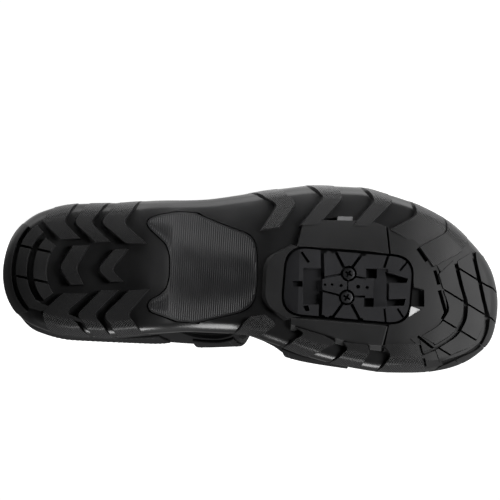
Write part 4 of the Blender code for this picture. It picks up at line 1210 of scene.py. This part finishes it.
def insole_faces():
    """Top, bottom and sides of the bed, with a rounded edge."""
    ends = LAST_COLUMNS["x"][[0, -1]]
    turns = np.linspace(0, last_turn(ends[1]), INSOLE_STEPS + 1)
    lateral, medial = last_row("lateral", turns), last_row("medial", turns)
    middle = (lateral + medial) / 2
    half = np.maximum((medial - lateral) / 2 - INSOLE_GAP, 0)
    x = np.clip(last_x(turns), ends[0] + INSOLE_GAP, ends[1] - INSOLE_GAP)
    x = np.repeat(x[:, None], len(INSOLE_ACROSS), 1)
    y = middle[:, None] + half[:, None] * INSOLE_ACROSS
    under = height("bed", x) + GAP
    outward = np.abs(INSOLE_ACROSS)
    cup = INSOLE_CUP * np.clip(1 - np.abs(x - CUP_CENTRE) / CUP_REACH, 0, 1) * outward**3
    edge = INSOLE_EDGE * np.clip((outward - INSOLE_ROUND) / (1 - INSOLE_ROUND), 0, 1)**2
    top = np.stack([x, y, under + INSOLE + cup - edge], -1)
    bottom = np.stack([x, y, under], -1)
    return [top, bottom, *[np.stack([top[:, j], bottom[:, j]]) for j in (0, -1)]]


bed_knit = plain("insole knit", (0.036, 0.036, 0.038), 0.85, 0.9, 0.12)
insole = moulded("insole_bed", insole_faces())
dress(insole, bed_knit, "bed", "insole")


# Upper: heel quarters, instep band and forefoot band, cut from one sheet of black synthetic leather
# over a thin lining and lasted under the insole. It is cut away a little over the arch.
WALL = 2.4
OBLIQUE = 0.16
MEDIAL_WALL = 36.0
COLLAR = (
    ("x", "z"),
    (-20, 86),
    (6, 85),
    (26, 77),
    (50, 69),
    (72, 69),
    (88, 77),
    (104, 97),
    (118, 130),
)
GAP_EDGES = (
    ("z", "back", "front"),
    (20, 138, 163),
    (27, 138, 163),
    (64, 147.4, 178),
    (74, 150, 180.5),
    (100, 158.7, 187),
    (112, 163, 190),
)
SILL = 0.94
TOE_EDGE = (("share", "x"), (-1.0, 203), (-0.5, 208), (0.0, 211), (0.5, 213), (1.0, 216))
QUARTER_END = {"lateral": 80.0, "medial": 92.0}
COLLAR_WITHIN = (74.0, 132.0)
GAP_WITHIN = (100.0, 215.0)
GAP_FILLET = (6.0, 7.0)
QUARTER_STEPS = (44, 48)
INSTEP_STEPS = 24
SILL_STEPS = 6
FOREFOOT_STEPS = 22
FOOT_ROWS = 4
SIDE_ROWS = 16
OVER_ROWS = 36
HALVINGS = 40
LAST_STEP = 0.004


def last_point(turn, share):
    """A point on the last: share runs from -1 at the lateral feather line to 1 at the medial one."""
    turn, share = np.broadcast_arrays(np.asarray(turn, float), np.asarray(share, float))
    share = np.where(turn < 0, -share, share)
    turn = np.abs(turn)
    x = last_x(turn)
    medial = share >= 0
    feather = np.where(medial, last_row("medial", turn), last_row("lateral", turn))
    flare = np.where(medial, last_row("medial_flare", turn), -last_row("lateral_flare", turn))
    ridge = last_row("ridge", turn)
    low = height("bed", x) + GAP
    tall = last_row("top", turn) - low
    up = 1 - np.abs(share)
    weights = ((1 - up)**3, 3 * up * (1 - up)**2, 3 * up**2 * (1 - up), up**3)
    ys = (feather, feather + flare, ridge + last_row("shoulder", turn) * (feather - ridge), ridge)
    y = sum(w * v for w, v in zip(weights, ys))
    rise = sum(w * v for w, v in zip(weights, (0.0, 0.5, 1.0, 1.0)))
    heel = np.clip(1 - (x - HEEL_BACK) / HEEL_REACH, 0, 1)
    lean = HEEL_LEAN * rise * (rise - HEEL_BULGE) * heel**2
    return np.stack([x + lean, y, low + tall * rise], -1)


def off_last(turn, share, distance):
    """A point at a distance outside the last, kept above the bed."""
    turn, share = np.broadcast_arrays(np.asarray(turn, float), np.asarray(share, float))
    along = last_point(turn + LAST_STEP, share) - last_point(turn - LAST_STEP, share)
    before, after = [last_point(turn, np.clip(share + step, -1, 1))
                     for step in (-LAST_STEP, LAST_STEP)]
    out = np.cross(along, after - before)
    out[np.linalg.norm(out, axis=-1) < 1e-6] = (-1, 0, 0)
    out /= np.linalg.norm(out, axis=-1, keepdims=True)
    spot = last_point(turn, share) + out * distance
    spot[..., 2] = np.maximum(spot[..., 2], height("bed", spot[..., 0]) + GAP)
    return spot


def solve(gone, low, high):
    """The place between two limits where a cut line is met, by halving."""
    low, high = np.array(low, float), np.array(high, float)
    for _ in range(HALVINGS):
        middle = (low + high) / 2
        past = gone(middle)
        low, high = np.where(past, low, middle), np.where(past, middle, high)
    return (low + high) / 2


def over_collar(turn, share):
    """Whether a point of the last lies above the collar line."""
    at = columns(COLLAR)
    spot = last_point(turn, share)
    station = spot[..., 0] - OBLIQUE * (spot[..., 1] - MEDIAL_WALL)
    return spot[..., 2] > glide(at["x"], at["z"], station)


def gap_turn(share, edge):
    """Station angle at which a row meets the back or front edge of the gap between the straps."""
    at = columns(GAP_EDGES)
    sign = 1 if edge == "back" else -1
    run, rise = GAP_FILLET

    def past(turn):
        spot = last_point(turn, share)
        sill = last_point(turn, SILL * np.sign(share))[..., 2]
        down = ((sill + rise - spot[..., 2]) / rise).clip(0, 1)
        fillet = run * (1 - np.sqrt(np.clip(1 - down**2, 0, 1)))
        line = np.interp(spot[..., 2], at["z"], at[edge]) + sign * fillet
        return spot[..., 0] - OBLIQUE * (spot[..., 1] - MEDIAL_WALL) > line

    share = np.asarray(share, float)
    return solve(past, *[np.full(share.shape, last_turn(x)) for x in GAP_WITHIN])


def quarter_rows(turns):
    """Rows from the feather line to the collar, for stations right round the heel."""
    top = solve(lambda down: over_collar(turns, 1 - down), np.zeros(turns.shape), np.ones(turns.shape))
    foot = np.linspace(1, SILL, FOOT_ROWS + 1)[:-1]
    rise = np.linspace(0, 1, SIDE_ROWS + 1)
    return np.stack([*[np.full(turns.shape, share) for share in foot],
                     *[SILL + (1 - top - SILL) * t for t in rise]])


ARCH_OPEN = (
    ("x", "share"),
    (0, 0.0),
    (96, 0.0),
    (104, 0.04),
    (114, 0.11),
    (127, 0.13),
    (135, 0.09),
    (142, 0.0),
    (291.4, 0.0),
)
ARCH_OPEN_FROM = 0.6


def over_arch(turns, shares):
    """Shares drawn up at the medial foot, where the upper is cut away over the arch."""
    at = columns(ARCH_OPEN)
    foot = np.clip((shares - ARCH_OPEN_FROM) / (1 - ARCH_OPEN_FROM), 0, 1)
    return shares - foot * glide(at["x"], at["share"], last_x(np.abs(turns)))


def upper_sheet():
    """The sheet in four kinds of grids that share their borders: quarters, bands and two sills."""
    reach = {side: float(last_turn(x)) for side, x in QUARTER_END.items()}
    lateral_turns = np.linspace(-reach["lateral"], 0, QUARTER_STEPS[0] + 1)
    medial_turns = np.linspace(0, reach["medial"], QUARTER_STEPS[1] + 1)
    turns = np.concatenate([lateral_turns[:-1], medial_turns])
    quarters = quarter_rows(turns)
    yield np.broadcast_to(turns, quarters.shape), quarters
    lateral, medial = -quarters[:, 0], quarters[:, -1]
    over = np.linspace(lateral[-1], medial[-1], OVER_ROWS + 1)[1:-1]
    limits = [np.full(over.shape, last_turn(x)) for x in COLLAR_WITHIN]
    start = solve(lambda turn: ~over_collar(turn, over), *limits)
    shares = np.concatenate([lateral, over, medial[::-1]])
    sides = [np.full(len(side), end) for side, end in zip((lateral, medial), reach.values())]
    first = np.concatenate([sides[0], start, sides[1]])
    band_end = gap_turn(shares, "back")
    band = first + (band_end - first) * np.linspace(0, 1, INSTEP_STEPS + 1)[:, None]
    yield band, over_arch(band, np.broadcast_to(shares, band.shape))
    rows = np.linspace(-1, -SILL, FOOT_ROWS + 1)
    for foot in (rows, -rows[::-1]):
        back, front = gap_turn(foot, "back"), gap_turn(foot, "front")
        sill = back + (front - back) * np.linspace(0, 1, SILL_STEPS + 1)[:, None]
        yield sill, np.broadcast_to(foot, sill.shape)
    over = np.linspace(-SILL, SILL, 2 * SIDE_ROWS + OVER_ROWS - 4)
    shares = np.concatenate([rows[:-1], over, -rows[::-1][1:]])
    edge = columns(TOE_EDGE)
    back, front = gap_turn(shares, "front"), last_turn(glide(edge["share"], edge["x"], shares))
    forefoot = back + (front - back) * np.linspace(0, 1, FOREFOOT_STEPS + 1)[:, None]
    yield forefoot, np.broadcast_to(shares, forefoot.shape)


leather = plain("black synthetic leather", (0.0105, 0.0105, 0.0110), 0.8, 0.8, 0.06, shine=0.16)
upper = moulded("upper_wall", [off_last(*grid, WALL / 2) for grid in upper_sheet()])
thick = upper.modifiers.new("wall", "SOLIDIFY")
thick.thickness = (WALL - 0.1) * MM
thick.offset = 0.0
thick.use_even_offset = True
soften(upper, 0.55, 2, 60)
dress(upper, leather, "upper", "upper")


# Heel counter: a stiff layer of coated webbing over a moulded cup, sewn round the back of the
# quarters.
LAYER = 1.7
LAYER_GAP = 0.35
COUNTER = (
    ("x", "medial_share", "lateral_share"),
    (7, 0.60, 0.60),
    (30, 0.66, 0.66),
    (60, 0.74, 0.74),
    (88, 0.78, 0.82),
    (100, 0.84, 0.86),
)
COUNTER_FOOT = 0.975
COUNTER_SLANT = 8.0
COUNTER_STEPS = (121, 17)


def layer(name, grid):
    """A sewn-on layer that follows the outside of the upper."""
    inside = WALL + LAYER_GAP
    made = moulded(name, slab(off_last(*grid, inside), off_last(*grid, inside + LAYER)))
    return soften(made, 0.6, 3, 45)


def counter_grid(ends=1.0):
    """Stations round the heel and rows up to the counter's top edge."""
    at = columns(COUNTER)
    stations, rows = COUNTER_STEPS
    up = np.linspace(0, 1, rows)
    reach = last_turn(at["x"][-1] - COUNTER_SLANT * (1 - up)) * ends
    turns = np.linspace(-1, 1, stations)[:, None] * reach
    tops = [glide(at["x"], at[f"{side}_share"], last_x(np.abs(turns)))
            for side in ("lateral", "medial")]
    top = np.where(turns < 0, tops[0], tops[1])
    return turns, COUNTER_FOOT + (top - COUNTER_FOOT) * up


webbing = plain("coated webbing", (0.0145, 0.0145, 0.0150), 0.8, 0.6, 0.08, shine=0.10)
dress(layer("heel_counter_cup", counter_grid()), webbing, "strap", "heel_counter")


# Straps: two hook-and-loop straps of coated webbing. Each is sewn in at its medial foot, runs over
# its band and is pressed down by its tab on the lateral side.
STRAP_STEPS = (81, 21)
FOREFOOT_STRAP = (
    ("share", "back", "front"),
    (0.97, 167, 205),
    (0.70, 170, 206),
    (0.40, 173, 206),
    (0.0, 176, 205),
    (-0.30, 173, 201),
    (-0.52, 169, 194),
    (-0.60, 173, 189),
)
INSTEP_STRAP = (
    ("share", "back", "front"),
    (0.97, 113, 137),
    (0.70, 116, 141.5),
    (0.40, 119, 145.5),
    (0.0, 118, 145),
    (-0.30, 111, 138.5),
    (-0.50, 105.5, 131.5),
    (-0.58, 109, 126.5),
)


def strap_grid(table):
    """Station angles and shares over a strap, from its tab to its medial foot."""
    at = columns(table)
    across, along = STRAP_STEPS
    order = np.argsort(at["share"])
    shares = np.linspace(at["share"].min(), at["share"].max(), across)
    back, front = [glide(at["share"][order], at[edge][order], shares) for edge in ("back", "front")]
    x = back[:, None] + (front - back)[:, None] * np.linspace(0, 1, along)
    turns = last_turn(x)
    return turns, over_arch(turns, np.repeat(shares[:, None], along, 1))


for node, table in (("instep_strap", INSTEP_STRAP), ("forefoot_strap", FOREFOOT_STRAP)):
    dress(layer(f"{node}_web", strap_grid(table)), webbing, "strap", node)


# Stitches: waxed black thread in short raised stitches, sewn along the edges of the straps and of
# the heel counter.
STITCH_PITCH = 3.2
STITCH_LONG = 2.4
STITCH_WIDE = 0.6
STITCH_SINK = 0.12
STITCH_SIDES = 8
STITCH_RINGS = 6
SEAM_END = 0.97


def stitch_tree():
    """A stitch at every step along a line, laid along it."""
    tree, start, end = tree_with("stitch_line", ("Pitch", "Long", "Wide"))
    line = tree.nodes.new("GeometryNodeMeshToCurve")
    steps = tree.nodes.new("GeometryNodeCurveToPoints")
    steps.mode = "LENGTH"
    ball = tree.nodes.new("GeometryNodeMeshUVSphere")
    ball.inputs["Segments"].default_value = STITCH_SIDES
    ball.inputs["Rings"].default_value = STITCH_RINGS
    ball.inputs["Radius"].default_value = 0.5
    aim = tree.nodes.new("FunctionNodeAlignRotationToVector")
    aim.axis = "Z"
    size = tree.nodes.new("ShaderNodeCombineXYZ")
    put = tree.nodes.new("GeometryNodeInstanceOnPoints")
    tree.links.new(start.outputs["Geometry"], line.inputs["Mesh"])
    tree.links.new(line.outputs["Curve"], steps.inputs["Curve"])
    tree.links.new(start.outputs["Pitch"], steps.inputs["Length"])
    tree.links.new(steps.outputs["Tangent"], aim.inputs["Vector"])
    tree.links.new(start.outputs["Wide"], size.inputs["X"])
    tree.links.new(start.outputs["Wide"], size.inputs["Y"])
    tree.links.new(start.outputs["Long"], size.inputs["Z"])
    tree.links.new(steps.outputs["Points"], put.inputs["Points"])
    tree.links.new(ball.outputs["Mesh"], put.inputs["Instance"])
    tree.links.new(aim.outputs["Rotation"], put.inputs["Rotation"])
    tree.links.new(size.outputs["Vector"], put.inputs["Scale"])
    end_tree(tree, start, end, put.outputs["Instances"])
    return tree


def thread_lines():
    """Lines along which the sewing runs, on the outer face of each layer."""
    over = WALL + LAYER_GAP + LAYER - STITCH_SINK
    for table in (INSTEP_STRAP, FOREFOOT_STRAP):
        turns, shares = strap_grid(table)
        for j in (2, -3):
            yield off_last(turns[2:-2, j], shares[2:-2, j], over)
    turns, shares = counter_grid(SEAM_END)
    for j in (1, -2):
        yield off_last(turns[:, j], shares[:, j], over)


thread = plain("sewing thread", (0.030, 0.030, 0.033), 0.6, 0.3, 0.03)
points = []
edges = []
for line in thread_lines():
    edges += [(len(points) + i, len(points) + i + 1) for i in range(len(line) - 1)]
    points += list(laid(line))
seam_mesh = bpy.data.meshes.new("stitches")
seam_mesh.from_pydata(points, edges, [])
stitch_sizes = {"Pitch": STITCH_PITCH * MM, "Long": STITCH_LONG * MM, "Wide": STITCH_WIDE * MM}
stitches = grow(link("stitches", seam_mesh), stitch_tree(), {**stitch_sizes, "Finish": thread})
dress(stitches, thread, "strap")


# The studio: a pale floor that glows under the lateral edge, soft light from the toe and the medial
# side, and a camera square to the tread, a little towards the medial side. The picture has the
# medial side at the bottom, so the camera is rolled over.
TILT = math.radians(8.0)
SLOPE = math.radians(3.2)
AIM = (144.0, -18.7, 2.0)
PICTURE_WIDTH = 291.9
DISTANCE = 1.8
SENSOR = 36.0
LIT = (272.0, -4.0, 6.0)
FLOOR_CORNERS = ((-0.7, -0.085, 0), (0.17, -0.075, 0), (0.17, 0.7, 0), (-0.7, 0.7, 0))
FLOOR_GLOW = (("X", (-0.02, 0.15, 4.2, 1.7)), ("Y", (-0.058, -0.036, 1.0, 0.0)))
FLOOR_LEAST = 1.0
BACKDROP = 1.05

floor_mesh = bpy.data.meshes.new("floor")
floor_mesh.from_pydata(FLOOR_CORNERS, [], [(0, 1, 2, 3)])
floor = link("floor", floor_mesh)
floor_finish = bpy.data.materials.new("pale floor")
floor_finish.use_nodes = True
floor_tree = floor_finish.node_tree
floor_shader = floor_tree.nodes["Principled BSDF"]
floor_shader.inputs["Base Color"].default_value = (0.50, 0.50, 0.50, 1.0)
floor_shader.inputs["Roughness"].default_value = 0.9
floor_shader.inputs["Specular IOR Level"].default_value = 0.0
floor_shader.inputs["Emission Color"].default_value = (1.0, 1.0, 1.0, 1.0)
floor_place = floor_tree.nodes.new("ShaderNodeTexCoord")
floor_along = floor_tree.nodes.new("ShaderNodeSeparateXYZ")
floor_tree.links.new(floor_place.outputs["Object"], floor_along.inputs["Vector"])
glows = [faded(floor_tree, floor_along.outputs[axis], span) for axis, span in FLOOR_GLOW]
glow = reckoned(floor_tree, "MAXIMUM", reckoned(floor_tree, "MULTIPLY", *glows), FLOOR_LEAST)
floor_tree.links.new(glow, floor_shader.inputs["Emission Strength"])
floor_mesh.materials.append(floor_finish)

away = LAID.to_3x3() @ Vector((0.0, math.sin(TILT), -math.cos(TILT)))
side_on = LAID.to_3x3() @ Vector((1.0, 0.0, 0.0))
lateral_up = LAID.to_3x3() @ Vector((0.0, -math.cos(TILT), -math.sin(TILT)))
right = side_on * math.cos(SLOPE) + lateral_up * math.sin(SLOPE)
above = lateral_up * math.cos(SLOPE) - side_on * math.sin(SLOPE)
target = Vector(laid(AIM))
camera_data = bpy.data.cameras.new("camera")
camera_data.sensor_width = SENSOR
camera_data.lens = SENSOR * DISTANCE / (PICTURE_WIDTH * MM)
camera = bpy.data.objects.new("camera", camera_data)
facing = Matrix((right, above, away)).transposed().to_4x4()
camera.matrix_world = Matrix.Translation(target + away * DISTANCE) @ facing
bpy.context.scene.collection.objects.link(camera)
bpy.context.scene.camera = camera

LIGHTS = (
    ("name", "right", "up", "out", "size", "spread", "watts"),
    ("key softbox", 0.90, 0.15, 0.68, 0.40, 150.0, 8.2),
    ("medial softbox", -0.06, -0.90, 0.44, 0.40, 150.0, 5.2),
)
lit = Vector(laid(LIT))
for row in LIGHTS[1:]:
    at = dict(zip(LIGHTS[0], row))
    lamp = bpy.data.lights.new(at["name"], "AREA")
    lamp.size = at["size"]
    lamp.spread = math.radians(at["spread"])
    lamp.energy = at["watts"]
    spot = target + right * at["right"] + above * at["up"] + away * at["out"]
    shine = bpy.data.objects.new(at["name"], lamp)
    shine.visible_camera = False
    facing = (spot - lit).to_track_quat("Z", "Y").to_matrix().to_4x4()
    shine.matrix_world = Matrix.Translation(spot) @ facing
    bpy.context.scene.collection.objects.link(shine)

world = bpy.data.worlds.new("studio")
world.use_nodes = True
bpy.context.scene.world = world
tent = world.node_tree
sky = tent.nodes["Background"]
sky.inputs["Color"].default_value = (1.0, 1.0, 1.0, 1.0)
look = tent.nodes.new("ShaderNodeTexCoord")
TENT = (
    ("axis", "from", "to", "light_from", "light_to"),
    (away, -0.80, -0.10, 0.3, 1.0),
    (away, -0.20, 0.60, 1.7, 0.02),
    (right, -0.6, 0.7, 0.15, 0.95),
    (above, -0.85, -0.2, 0.5, 1.0),
)
parts = []
for axis, *span in TENT[1:]:
    along = tent.nodes.new("ShaderNodeVectorMath")
    along.operation = "DOT_PRODUCT"
    along.inputs[1].default_value = axis
    tent.links.new(look.outputs["Generated"], along.inputs[0])
    part = faded(tent, along.outputs["Value"], span)
    part.node.interpolation_type = "SMOOTHSTEP"
    parts.append(part)
strength = parts[0]
for part in parts[1:]:
    strength = reckoned(tent, "MULTIPLY", strength, part)
seen = tent.nodes.new("ShaderNodeLightPath")
level = tent.nodes.new("ShaderNodeMapRange")
level.inputs["To Max"].default_value = BACKDROP
tent.links.new(seen.outputs["Is Camera Ray"], level.inputs["Value"])
tent.links.new(strength, level.inputs["To Min"])
tent.links.new(level.outputs["Result"], sky.inputs["Strength"])
bpy.context.scene.view_settings.view_transform = "Standard"
